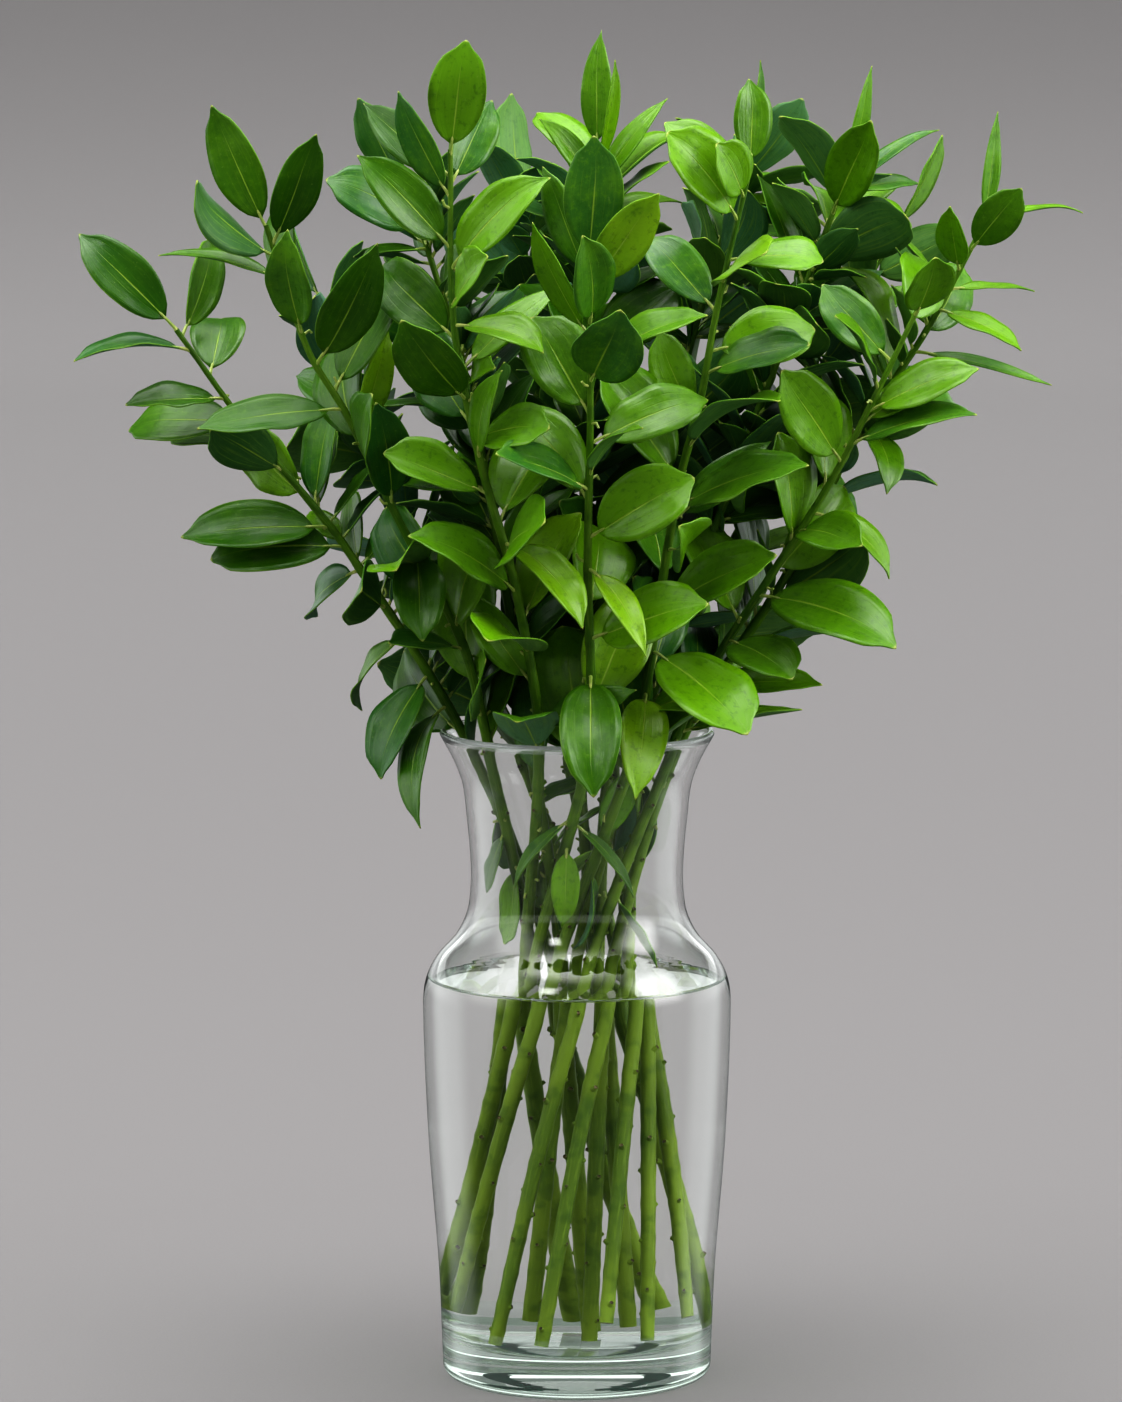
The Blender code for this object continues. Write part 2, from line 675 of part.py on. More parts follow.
ways = {stem.name: way(stem, STEM_STEP) for stem in STEMS}
stalks = {}
holes = collection("ruscus_stem_holes")
for stem in STEMS:
    places = ways[stem.name]
    run = lengths(places)
    radii = [thickness(length / run[-1]) for length in run]
    stalks[stem.name] = rod(stem.name + "_rod", places, radii)
    foot, pinch = foot_and_pinch(stem)
    low = foot + (foot - pinch).normalized() * GAP
    high = foot.lerp(pinch, HOLE_SHARE)
    wider = (STEM_RADIUS_AT_FOOT + GAP) / math.cos(math.pi / ROD_SIDES)
    cutter = put(stem.name + "_hole", rod(stem.name + "_hole", [low, high], [wider, wider]), holes)
    cutter.hide_render = True
    cutter.display_type = "WIRE"

water = put("water", water_mesh(), bunch, clear_water)
cut = water.modifiers.new("ruscus_stem_holes", "BOOLEAN")
cut.operation = "DIFFERENCE"
cut.operand_type = "COLLECTION"
cut.collection = holes
cut.solver = "EXACT"

leaves = all_leaves(ways, Clearing(vase_shape, stalks))
for stem in STEMS:
    joined_stem(stem.name, stalks[stem.name], leaves[stem.name], bunch, leaf_green)
print("leaves", sum(len(own) for own in leaves.values()))
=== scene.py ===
"""Cut ruscus stems in a flared glass vase: the looks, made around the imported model.

Sizes are written in millimetres and MM turns them into metres. The bunch stands on z = 0 about
the Z axis, and the side that the photograph shows faces -Y.
"""

import math
import random

import bmesh
import bpy
from mathutils import Matrix, Vector
from mathutils.bvhtree import BVHTree
from mathutils.kdtree import KDTree


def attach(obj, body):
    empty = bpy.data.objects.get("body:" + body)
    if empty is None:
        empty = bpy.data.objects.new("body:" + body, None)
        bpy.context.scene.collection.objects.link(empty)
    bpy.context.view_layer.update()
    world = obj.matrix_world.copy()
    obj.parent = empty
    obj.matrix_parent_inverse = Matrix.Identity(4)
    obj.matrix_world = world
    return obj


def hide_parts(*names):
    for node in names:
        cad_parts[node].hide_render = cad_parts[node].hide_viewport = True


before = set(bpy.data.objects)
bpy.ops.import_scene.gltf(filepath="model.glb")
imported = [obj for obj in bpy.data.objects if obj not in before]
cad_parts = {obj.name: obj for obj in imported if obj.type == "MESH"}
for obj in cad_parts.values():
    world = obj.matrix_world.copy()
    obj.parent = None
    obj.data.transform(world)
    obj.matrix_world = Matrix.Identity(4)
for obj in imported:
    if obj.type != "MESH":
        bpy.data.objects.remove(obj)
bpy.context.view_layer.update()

MM = 0.001
BODY = "root"
SMOOTH = math.radians(50)

# Studio: a wide pale grey floor whose rim curves up all round, far outside the view, so that the
# background is as soft from every side as the paper sweep of the photograph. Its grey changes with
# the distance from the bunch, as painted light and shade: lighter near the vase and far out, where
# the light from above fades, and darker at the rim. A ring high on the rim glows, as walls do round
# a soft light.
FLOOR_RADIUS = 5.0
FLOOR_RINGS = (2.4, 1.2, 0.4, 0.05)
FLOOR_SIDES = 96
RIM_RADIUS = 2.2
RIM_STEPS = 24
# The far and near greys are painted light, lighter where light fades and round the vase; the edge grey is
# painted shade.
FLOOR_FAR_PAINTED_LIGHT_GREY = (0.60, 0.573, 0.577, 1)
FLOOR_MIDDLE_GREY = (0.372, 0.355, 0.358, 1)
FLOOR_NEAR_PAINTED_LIGHT_GREY = (0.400, 0.383, 0.386, 1)
FLOOR_EDGE_PAINTED_SHADE_GREY = (0.248, 0.237, 0.239, 1)
FLOOR_GRAIN = (0.30, 0.29, 0.29, 1)
FAR_PAINTED_LIGHT_FADE = (1.0, 6.5)
EDGE_PAINTED_SHADE_FADE = (5.2, 7.4)
NEAR_PAINTED_LIGHT_FADE = (0.4, 0.15)
GRAIN_FADE = (1.5, 0.3)
RING_BOTTOM = 0.75
RING_TOP = 2.0
RING_FADE = 0.2
RING_LIGHT = 0.97
RING_COLOUR = (0.98, 1.0, 0.99, 1)
BLACK = (0, 0, 0, 1)
WHITE = (1, 1, 1, 1)
LAMP_TARGET = Vector((0, 0, 0.3))
CAMERA_PLACE = Vector((-0.0064, -2.6, 0.6))
CAMERA_TARGET = Vector((-0.0064, 0, 0.274))
LENS = 168.19
SENSOR = 36


class Wire:
    """One output of a shader node. Arithmetic on it adds Math nodes."""

    def __init__(self, paint, socket):
        self.paint = paint
        self.socket = socket

    def math(self, operation, *terms):
        return self.paint.node("Math", {"operation": operation}, terms)

    def __add__(self, other):
        return self.math("ADD", self, other)

    def __sub__(self, other):
        return self.math("SUBTRACT", self, other)

    def __rsub__(self, other):
        return self.math("SUBTRACT", other, self)

    def __mul__(self, other):
        return self.math("MULTIPLY", self, other)

    def __truediv__(self, other):
        return self.math("DIVIDE", self, other)

    def __abs__(self):
        return self.math("ABSOLUTE", self)

    __radd__ = __add__
    __rmul__ = __mul__

    def sine(self):
        return self.math("SINE", self)

    def rise(self, low, high):
        """Nothing below low, all above high, and smooth between. Low may be above high."""
        settings = {"interpolation_type": "SMOOTHSTEP"}
        inputs = {"Value": self, "From Min": low, "From Max": high}
        return self.paint.node("MapRange", settings, inputs)


class Paint:
    """A material in the making, with its Principled BSDF and the nodes that feed it."""

    def __init__(self, name, **sockets):
        self.material = bpy.data.materials.new(name)
        self.material.use_nodes = True
        self.tree = self.material.node_tree
        self.base = self.tree.nodes["Principled BSDF"]
        self.set(**sockets)

    def feed(self, socket, value):
        if isinstance(value, Wire):
            self.tree.links.new(value.socket, socket)
        else:
            socket.default_value = value

    def set(self, **sockets):
        for name, value in sockets.items():
            self.feed(self.base.inputs[name.replace("_", " ")], value)

    def node(self, kind, settings=None, inputs=(), output=0):
        made = self.tree.nodes.new("ShaderNode" + kind)
        for name, value in (settings or {}).items():
            setattr(made, name, value)
        pairs = inputs.items() if isinstance(inputs, dict) else enumerate(inputs)
        for key, value in pairs:
            self.feed(made.inputs[key], value)
        return Wire(self, made.outputs[output])

    def mix(self, share, first, second):
        """The first colour, with a share of the second."""
        return self.node("Mix", {"data_type": "RGBA"}, {0: share, 6: first, 7: second}, 2)

    def noise(self, where, scale, detail=2.0, roughness=0.5):
        inputs = {"Vector": where, "Scale": scale, "Detail": detail, "Roughness": roughness}
        return self.node("TexNoise", None, inputs)

    def place(self):
        return self.node("TexCoord", output="Object")

    def across_and_along(self):
        """The two coordinates of the piece's own UV map."""
        flat = self.node("UVMap", {"uv_map": "UVMap"})
        return (
            self.node("SeparateXYZ", None, (flat,), "X"),
            self.node("SeparateXYZ", None, (flat,), "Y"),
        )

    def bump(self, height, strength, depth):
        inputs = {"Height": height, "Strength": strength, "Distance": depth}
        self.set(Normal=self.node("Bump", None, inputs))


def turned(name, outline, sides, closed=True):
    """A ring of the outline's first point, extruded and resized from point to point."""
    bpy.ops.object.select_all(action="DESELECT")
    radius, height = outline[0]
    bpy.ops.mesh.primitive_circle_add(vertices=sides, radius=radius, location=(0, 0, height))
    piece = bpy.context.object
    piece.name = name
    bpy.ops.object.transform_apply()
    bpy.ops.object.mode_set(mode="EDIT")
    bpy.ops.mesh.select_all(action="SELECT")
    for next_radius, next_height in outline[1:]:
        up = (0, 0, next_height - height)
        bpy.ops.mesh.extrude_region_move(TRANSFORM_OT_translate={"value": up})
        share = next_radius / radius
        bpy.ops.transform.resize(value=(share, share, 1), center_override=(0, 0, 0))
        radius, height = next_radius, next_height
    bpy.ops.mesh.edge_face_add()
    if closed:
        bpy.ops.mesh.select_all(action="DESELECT")
        bpy.ops.mesh.select_non_manifold()
        bpy.ops.mesh.edge_face_add()
    bpy.ops.mesh.select_all(action="SELECT")
    bpy.ops.mesh.normals_make_consistent(inside=False)
    bpy.ops.object.mode_set(mode="OBJECT")
    return piece


def arc(middle, radius, start, end, steps):
    """Points on an arc in the plane of radius and height, angles in degrees."""
    points = []
    for step in range(steps + 1):
        angle = math.radians(start + (end - start) * step / steps)
        points.append((middle[0] + radius * math.cos(angle), middle[1] + radius * math.sin(angle)))
    return points


def clad(piece, *paints):
    for paint in paints:
        piece.data.materials.append(paint.material)


rim = arc((FLOOR_RADIUS, RIM_RADIUS), RIM_RADIUS, 0, -90, RIM_STEPS)
flat = [(radius, 0) for radius in FLOOR_RINGS]
floor = turned("studio_floor", rim + flat, FLOOR_SIDES, closed=False)
bpy.ops.object.shade_smooth()
paper = Paint("pale_paper", Roughness=0.9, Specular_IOR_Level=0.2, Emission_Strength=RING_LIGHT)
grain = paper.noise(paper.place(), 900, 3)
distance = paper.node("VectorMath", {"operation": "LENGTH"}, (paper.place(),), "Value")
# Painted light far out and near the vase, painted shade at the rim
pale = paper.mix(distance.rise(*FAR_PAINTED_LIGHT_FADE), FLOOR_MIDDLE_GREY, FLOOR_FAR_PAINTED_LIGHT_GREY)
pale = paper.mix(distance.rise(*EDGE_PAINTED_SHADE_FADE), pale, FLOOR_EDGE_PAINTED_SHADE_GREY)
pale = paper.mix(distance.rise(*NEAR_PAINTED_LIGHT_FADE), pale, FLOOR_NEAR_PAINTED_LIGHT_GREY)
specked = grain.rise(0.35, 0.65) * distance.rise(*GRAIN_FADE) * 0.10
paper.set(Base_Color=paper.mix(specked, pale, FLOOR_GRAIN))
height = paper.node("SeparateXYZ", None, (paper.place(),), "Z")
ring = height.rise(RING_BOTTOM, RING_BOTTOM + RING_FADE) * height.rise(RING_TOP, RING_TOP - RING_FADE)
paper.set(Emission_Color=paper.mix(ring, BLACK, RING_COLOUR))
clad(floor, paper)
floor.visible_glossy = False


def aimed(place, target):
    """The turn that looks from a place at a target."""
    return (target - place).to_track_quat("-Z", "Y").to_euler()


class Glow(Paint):
    """The light of a lamp in the making: full in the middle and fading toward its edges."""

    def __init__(self, light):
        light.use_nodes = True
        self.tree = light.node_tree
        self.base = self.tree.nodes["Emission"]
        spot = self.node("NewGeometry", output="Parametric")
        across = abs(self.node("SeparateXYZ", None, (spot,), "X") * 2 - 1)
        up = abs(self.node("SeparateXYZ", None, (spot,), "Y") * 2 - 1)
        self.set(Strength=across.rise(1.0, 0.3) * up.rise(1.0, 0.3) * 2)


# The floor is lit from far above alone, so that its grey is even and no lamp draws a pool on it
unlit = bpy.data.collections.new("lit_from_above_only")
unlit.objects.link(floor)
unlit.collection_objects[0].light_linking.link_state = "EXCLUDE"


def softbox(place, size, watts, on_floor=False, mirrored=True):
    """A soft light aimed at the bunch. The camera doesn't see it, only what it lights."""
    place = Vector(place)
    bpy.ops.object.light_add(type="AREA", location=place, rotation=aimed(place, LAMP_TARGET))
    lamp = bpy.context.object
    lamp.visible_camera = False
    lamp.visible_transmission = False
    lamp.visible_glossy = mirrored
    lamp.data.shape = "RECTANGLE"
    lamp.data.size, lamp.data.size_y = size
    lamp.data.energy = watts
    if not on_floor:
        lamp.light_linking.receiver_collection = unlit
    Glow(lamp.data)


# A wide one on the right, a small one in front, two in one place on the left, of which gloss mirrors
# the dimmer alone, a broad one overhead, and one far above that also lights the floor
softbox((1.5, -0.5, 1.1), (1.6, 1.8), 31)
softbox((-0.8, -1.7, 1.8), (0.6, 0.6), 7)
softbox((-1.4, -0.45, 1.1), (1.7, 2.1), 13)
softbox((-1.4, -0.45, 1.1), (1.7, 2.1), 15, mirrored=False)
softbox((-0.3, -0.4, 2.3), (2.4, 2.0), 27)
softbox((0, 0, 5.0), (8, 8), 300, on_floor=True)


class Air(Paint):
    """The light of the air: dim, less so above, and bright low down behind and beside."""

    def __init__(self, name):
        world = bpy.data.worlds.new(name)
        world.use_nodes = True
        bpy.context.scene.world = world
        self.tree = world.node_tree
        self.base = self.tree.nodes["Background"]
        way = self.node("TexCoord", output="Generated")
        behind = self.node("SeparateXYZ", None, (way,), "Y").rise(-0.1, 0.7)
        height = self.node("SeparateXYZ", None, (way,), "Z")
        low = height.rise(0.28, 0.12) * height.rise(-0.10, 0.06)
        aside = abs(self.node("SeparateXYZ", None, (way,), "X")).rise(0.60, 0.85)
        aside = aside * self.node("SeparateXYZ", None, (way,), "Y").rise(-0.05, 0.25)
        level = height.rise(-0.55, -0.35) * height.rise(0.5, 0.3)
        above = height.rise(0.3, 0.8)
        strength = behind * low * 0.8 + aside * level * 1.15 + above * 0.12 + 0.08
        self.set(Color=(0.94, 1.0, 0.99, 1), Strength=strength)


Air("studio_air")
bpy.context.scene.view_settings.view_transform = "Standard"
bpy.context.scene.view_settings.look = "High Contrast"
# Light passes many walls of glass and water, which turn black at the usual limits
bpy.context.scene.cycles.max_bounces = 40
bpy.context.scene.cycles.transmission_bounces = 40
bpy.context.scene.cycles.glossy_bounces = 16

bpy.ops.object.camera_add(location=CAMERA_PLACE, rotation=aimed(CAMERA_PLACE, CAMERA_TARGET))
camera = bpy.context.object
camera.data.lens = LENS
camera.data.sensor_width = SENSOR
bpy.context.scene.camera = camera

# Vase: one piece of clear soda glass, pressed and fire-polished. It has a rounded lip, a narrow
# waist, a full shoulder and a body that tapers to a thick foot with a shallow hollow under it.
OUTSIDE = (
    (54.2, 6), (54.6, 17), (55.8, 45), (59.8, 97), (61.9, 150), (60.8, 161.5), (56.4, 170.5),
    (48.6, 179.5), (44.1, 189), (42.6, 201), (42.9, 213), (44.4, 229), (45.9, 241), (49.6, 251),
    (54.8, 260.6),
)
WALL = 2.8
INNER_FLOOR = 16.0
INNER_CORNER = 8.0
FOOT_CORNER = 5.0
HOLLOW_RADIUS = 43.0
HOLLOW_DEPTH = 2.6
HOLLOW_STEPS = 24
ARC_STEPS = 8
FOOT_STEPS = 6
WALL_STEP = 2.5
GLASS_SIDES = 128
POLE = 0.8
LIP_HEIGHT = 259.5
FOOT_HEIGHT = 24.0
SHADE_INSIDE = (17.5, 25.0)
SHADE_RADIUS = 25.5
FLOOR_EDGE_RADIUS = 42.0
FLOOR_EDGE_HEIGHT = 2.5
WATER_LEVEL = 161.0
CLIMB = 1.5
GLASS_IOR = 1.5
WATER_IOR = 1.333
THROUGH_GLASS = (0.965, 0.98, 0.972, 1)
THROUGH_WATER = (0.985, 0.99, 0.985, 1)


def curve_through(points, step):
    """Places about a step apart on a smooth curve through the points."""
    spots = [Vector(point) for point in points]
    along = [0.0]
    for a, b in zip(spots, spots[1:]):
        along.append(along[-1] + (b - a).length)
    last = len(spots) - 1
    slopes = []
    for i in range(last + 1):
        before = max(i - 1, 0)
        after = min(i + 1, last)
        slopes.append((spots[after] - spots[before]) / (along[after] - along[before]))
    places = [spots[0]]
    for i in range(last):
        span = along[i + 1] - along[i]
        count = max(1, round(span / step))
        for j in range(1, count + 1):
            t = j / count
            places.append(
                spots[i] * (2 * t**3 - 3 * t**2 + 1)
                + slopes[i] * span * (t**3 - 2 * t**2 + t)
                + spots[i + 1] * (3 * t**2 - 2 * t**3)
                + slopes[i + 1] * span * (t**3 - t**2)
            )
    return places


def moved_in(outline, distance):
    """An outline that runs upward, moved toward the axis, square to itself."""
    moved = []
    for i, point in enumerate(outline):
        run = (outline[min(i + 1, len(outline) - 1)] - outline[max(i - 1, 0)]).normalized()
        moved.append(Vector((point.x - run.y * distance, point.y + run.x * distance)))
    return moved


outer_wall = curve_through(OUTSIDE, WALL_STEP)


def inner_outline(inset):
    """The inside of the vase from the lip down to the middle of its floor."""
    floor_height = INNER_FLOOR + inset - WALL
    wall = [point for point in moved_in(outer_wall, inset) if point.y > floor_height + INNER_CORNER + 1]
    bend = wall[0].x - 0.3 - INNER_CORNER
    corner = arc((bend, floor_height + INNER_CORNER), INNER_CORNER, 0, -90, ARC_STEPS)
    flat = [(bend * share, floor_height) for share in (0.75, 0.5, 0.25)]
    return [tuple(point) for point in reversed(wall)] + corner + flat + [(POLE, floor_height)]


def in_metres(outline):
    return [(radius * MM, height * MM) for radius, height in outline]


inside = inner_outline(WALL)
lip_outer = Vector(outer_wall[-1])
lip_inner = Vector(inside[0])
lip_middle = (lip_outer + lip_inner) / 2
lean = math.degrees(math.atan2(lip_outer.y - lip_middle.y, lip_outer.x - lip_middle.x))
lip = arc(lip_middle, WALL / 2, lean, lean + 180, ARC_STEPS)[1:-1]
hollow = []
for step in range(HOLLOW_STEPS + 1):
    radius = max(POLE, HOLLOW_RADIUS * step / HOLLOW_STEPS)
    hollow.append((radius, HOLLOW_DEPTH * (1 + math.cos(math.pi * radius / HOLLOW_RADIUS)) / 2))
foot_middle = (OUTSIDE[0][0] - FOOT_CORNER, FOOT_CORNER)
foot = arc(foot_middle, FOOT_CORNER, -90, 0, FOOT_STEPS)
outside = [tuple(point) for point in outer_wall]
vase = turned("glass_vase", in_metres(hollow + foot + outside + lip + inside), GLASS_SIDES)
bpy.ops.object.shade_smooth_by_angle(angle=SMOOTH)


def let_light_in(paint, through_colour):
    """Shadow rays and diffuse rays pass straight through, so what stands inside is lit."""
    clear = paint.node("BsdfTransparent", None, {"Color": through_colour})
    seen = Wire(paint, paint.base.outputs[0])
    for ray in ("Is Shadow Ray", "Is Diffuse Ray"):
        kind = paint.node("LightPath", output=ray)
        seen = paint.node("MixShader", None, (kind, seen, clear))
    paint.feed(paint.tree.nodes["Material Output"].inputs["Surface"], seen)


def glass_paint(name, tint, roughness=0.0, ior=GLASS_IOR, clearness=1.0):
    paint = Paint(name, Base_Color=tint, Roughness=roughness, IOR=ior, Transmission_Weight=clearness)
    let_light_in(paint, THROUGH_GLASS)
    return paint


# Thick glass is greener, so the foot and its edge are. The corner of the floor is greener too, and
# darker still as painted shade. Two sides of the hollow are dark and dull: they stand for the dim
# surroundings that a real foot mirrors there.
foot_shade = Paint("foot_shade_glass", Base_Color=(0.004, 0.020, 0.013, 1))
foot_shade.set(Roughness=1.0, Specular_IOR_Level=0.0)
GLASS_PAINTS = (
    glass_paint("clear_glass", (0.99, 1.0, 0.995, 1)),
    glass_paint("wet_glass", (0.99, 1.0, 0.995, 1), ior=GLASS_IOR / WATER_IOR),
    glass_paint("lip_glass", (0.92, 0.98, 0.95, 1), roughness=0.12, clearness=0.8),
    glass_paint("foot_glass", (0.90, 0.985, 0.94, 1), clearness=0.93),
    glass_paint("foot_edge_glass", (0.74, 0.88, 0.80, 1), clearness=0.93),
    # Painted shade, partly: the corner's tint is darker than thick glass alone
    glass_paint("floor_edge_glass", (0.50, 0.66, 0.54, 1), ior=GLASS_IOR / WATER_IOR),
    foot_shade,
)
CLEAR, WET, LIP, FOOT, FOOT_EDGE, FLOOR_EDGE, FOOT_SHADE = range(len(GLASS_PAINTS))
clad(vase, *GLASS_PAINTS)
for face in vase.data.polygons:
    place = face.center / MM
    reach = math.hypot(place.x, place.y)
    inward = -(face.normal.x * place.x + face.normal.y * place.y) / reach
    holds = inward > 0.3 or (face.normal.z > 0.5 and place.z > INNER_FLOOR - 1)
    bright = math.hypot(place.x / SHADE_INSIDE[0], place.y / SHADE_INSIDE[1]) < 1
    if place.z > LIP_HEIGHT:
        face.material_index = LIP
    elif holds and place.z < WATER_LEVEL + CLIMB:
        at_corner = place.z < INNER_FLOOR + FLOOR_EDGE_HEIGHT and reach > FLOOR_EDGE_RADIUS
        face.material_index = FLOOR_EDGE if at_corner else WET
    elif reach < SHADE_RADIUS and not bright:
        face.material_index = FOOT_SHADE
    elif place.z < FOOT_CORNER:
        face.material_index = FOOT_EDGE
    elif place.z < FOOT_HEIGHT:
        face.material_index = FOOT
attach(vase, BODY)
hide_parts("vase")

# Water: clear tap water up to the shoulder. It climbs the wall and stands a little higher there than
# in the middle. It wets the glass: light bends there at the wall, so its own side bends none.
WETS = 0.15
CLIMB_WIDTH = 3.2
CLIMB_STEPS = 8

wet_side = [point for point in inner_outline(WALL - WETS) if point[1] < WATER_LEVEL + CLIMB - 0.5]
edge_radius = wet_side[0][0] - 0.3
surface = [(POLE, WATER_LEVEL)]
for share in (0.3, 0.6, 0.85):
    surface.append(((edge_radius - CLIMB_WIDTH) * share, WATER_LEVEL))
for step in range(CLIMB_STEPS + 1):
    share = step / CLIMB_STEPS
    surface.append((edge_radius - CLIMB_WIDTH * (1 - share), WATER_LEVEL + CLIMB * share**2.6))
water = turned("clear_water", in_metres(surface + wet_side), GLASS_SIDES)
bpy.ops.object.shade_smooth_by_angle(angle=SMOOTH)
for name, ior in (("water_surface", WATER_IOR), ("water_side", 1.0)):
    paint = Paint(name, Base_Color=WHITE, Roughness=0.0, IOR=ior, Transmission_Weight=1.0)
    let_light_in(paint, THROUGH_WATER)
    clad(water, paint)
SURFACE, SIDE = range(2)
for face in water.data.polygons:
    on_top = face.center.z > (WATER_LEVEL - 0.5) * MM and face.normal.z > 0.2
    face.material_index = SURFACE if on_top else SIDE
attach(water, BODY)
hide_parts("water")

# Stems: fifteen green canes, cut square at the foot and stripped below the mouth. Each grew up in
# slight angles from node to node, and carries old leaf scars where it was stripped, and thin pale
# leaf stalks above. They pass the vase's neck all turned the same way and fan out of its mouth.
PINCH_HEIGHT = 168.0
RINGS = {"outer": (21.0, 41.0), "inner": (9.0, 17.0)}
CANE_RADIUS_AT_FOOT = 2.7
CANE_RADIUS_AT_TIP = 0.95
CANE_STEP = 3.5
CANE_SIDES = 12
CANE_RIBS = 0.035
MERGE = 0.00001
CANES = (
    ("outer", 24, [(-43, -2, 256), (-91, -8, 335), (-110, -11, 360), (-130, -14, 384), (-158, -20, 424)]),
    ("outer", 19, [(-36, -20, 262), (-46, -27, 302), (-70, -38, 350), (-91, -45, 394), (-105, -49, 418),
                   (-121, -54, 467)]),
    ("outer", 22, [(-15, -40, 262), (-24, -50, 324), (-38, -58, 376), (-48, -65, 431), (-49, -72, 497)]),
    ("outer", 31, [(4, -42, 260), (4, -60, 337), (5, -74, 401), (4, -84, 455)]),
    ("outer", 28, [(23, -33, 262), (31, -40, 311), (40, -49, 367), (48, -54, 399), (54, -58, 434),
                   (67, -64, 491)]),
    ("outer", 18, [(39, -13, 260), (50, -15, 284), (73, -21, 321), (100, -29, 365), (116, -34, 397),
                   (133, -38, 433)]),
    ("outer", 20, [(42, 8, 257), (83, 10, 322), (111, 9, 378), (139, 5, 422), (163, 0, 468)]),
    ("inner", 18, [(-19, -6, 259), (-42, -10, 395), (-66, -10, 478)]),
    ("inner", 23, [(1, 13, 257), (4, 17, 393), (8, 20, 493)]),
    ("inner", 19, [(14, 14, 258), (40, 28, 393), (68, 45, 486)]),
    ("inner", 26, [(24, -10, 259), (66, 0, 374), (108, 5, 486)]),
    ("outer", 30, [(29, 26, 256), (82, 42, 371), (130, 52, 462)]),
    ("outer", 21, [(16, 36, 254), (38, 68, 369), (60, 96, 458)]),
    ("outer", 27, [(-5, 39, 254), (-14, 68, 369), (-23, 88, 470)]),
    ("outer", 17, [(-26, 30, 254), (-70, 46, 345), (-104, 58, 432)]),
)


def cane_way(ring_name, foot_height, route):
    """Places along a cane from its cut foot, straight to the neck, then through its route."""
    ring, feet = RINGS[ring_name]
    mouth = Vector(route[0])
    bearing = math.atan2(mouth.x, -mouth.y) - math.acos(min(1.0, ring / math.hypot(mouth.x, mouth.y)))
    neck = Vector((ring * math.sin(bearing), -ring * math.cos(bearing), PINCH_HEIGHT))
    sideways = Vector((math.cos(bearing), math.sin(bearing), 0))
    foot = neck - sideways * math.sqrt(feet**2 - ring**2)
    foot.z = foot_height
    return [place * MM for place in curve_through([foot, neck] + route, CANE_STEP)]


class Line:
    """A line through places, which can be asked for a place, a heading or a length along it."""

    def __init__(self, places):
        self.places = places
        self.run = [0.0]
        for a, b in zip(places, places[1:]):
            self.run.append(self.run[-1] + (b - a).length)
        self.length = self.run[-1]
        self.tree = KDTree(len(places))
        for i, place in enumerate(places):
            self.tree.insert(place, i)
        self.tree.balance()

    def at(self, length):
        length = min(max(length, 0), self.length)
        i = 0
        while i < len(self.run) - 2 and self.run[i + 1] < length:
            i += 1
        a, b = self.places[i], self.places[i + 1]
        share = (length - self.run[i]) / (self.run[i + 1] - self.run[i])
        return a.lerp(b, share), (b - a).normalized()

    def nearest(self, place):
        """The length along the line of the place on it that is nearest."""
        _, i, _ = self.tree.find(place)
        _, heading = self.at(self.run[i])
        return self.run[i] + (place - self.places[i]).dot(heading)

    def outward(self, length, bearing):
        """A place on the line, its heading there, and the way square to it at a bearing."""
        root, heading = self.at(length)
        side = heading.orthogonal().normalized()
        return root, heading, side * math.cos(bearing) + heading.cross(side) * math.sin(bearing)


def frame_along(places):
    """Two directions square to the line at each place, turning no more than the line does."""
    side = (places[1] - places[0]).orthogonal().normalized()
    sides = []
    for i in range(len(places)):
        heading = (places[min(i + 1, len(places) - 1)] - places[max(i - 1, 0)]).normalized()
        side = (side - heading * side.dot(heading)).normalized()
        sides.append((side, heading.cross(side)))
    return sides


def tube(name, places, radii, sides, ribs=0.0):
    """A round tube: a flat grid, rolled up round the line and closed at its seam and ends."""
    rings = len(places) - 1
    bpy.ops.object.select_all(action="DESELECT")
    bpy.ops.mesh.primitive_grid_add(x_subdivisions=sides, y_subdivisions=rings, size=1)
    piece = bpy.context.object
    piece.name = name
    across = frame_along(places)
    for vertex in piece.data.vertices:
        i = round((vertex.co.y + 0.5) * rings)
        angle = (vertex.co.x + 0.5) * 2 * math.pi
        radius = radii[i] * (1 + ribs * math.cos(5 * angle + i * 0.05))
        vertex.co = places[i] + (across[i][0] * math.cos(angle) + across[i][1] * math.sin(angle)) * radius
    bpy.ops.object.mode_set(mode="EDIT")
    bpy.ops.mesh.select_all(action="SELECT")
    bpy.ops.mesh.remove_doubles(threshold=MERGE)
    bpy.ops.mesh.select_all(action="DESELECT")
    bpy.ops.mesh.select_non_manifold()
    bpy.ops.mesh.fill_holes(sides=0)
    bpy.ops.object.mode_set(mode="OBJECT")
    return piece


def joined(name, parts):
    """One object of all the parts, under the first one's material slots."""
    bpy.ops.object.select_all(action="DESELECT")
    for part in parts:
        part.select_set(True)
    bpy.context.view_layer.objects.active = parts[0]
    bpy.ops.object.join()
    parts[0].name = name
    parts[0].data.name = name
    return parts[0]


def copy_of(blank, name):
    """A copy with its own mesh."""
    piece = bpy.data.objects.new(name, blank.data.copy())
    bpy.context.scene.collection.objects.link(piece)
    return piece


def thickness(share):
    return (CANE_RADIUS_AT_FOOT + (CANE_RADIUS_AT_TIP - CANE_RADIUS_AT_FOOT) * share**1.6) * MM


names = [f"ruscus_stem_{number:02d}" for number in range(1, len(CANES) + 1)]
canes = [Line(cane_way(*row)) for row in CANES]
mouths = [line.nearest(Vector(route[0]) * MM) for line, (_, _, route) in zip(canes, CANES)]

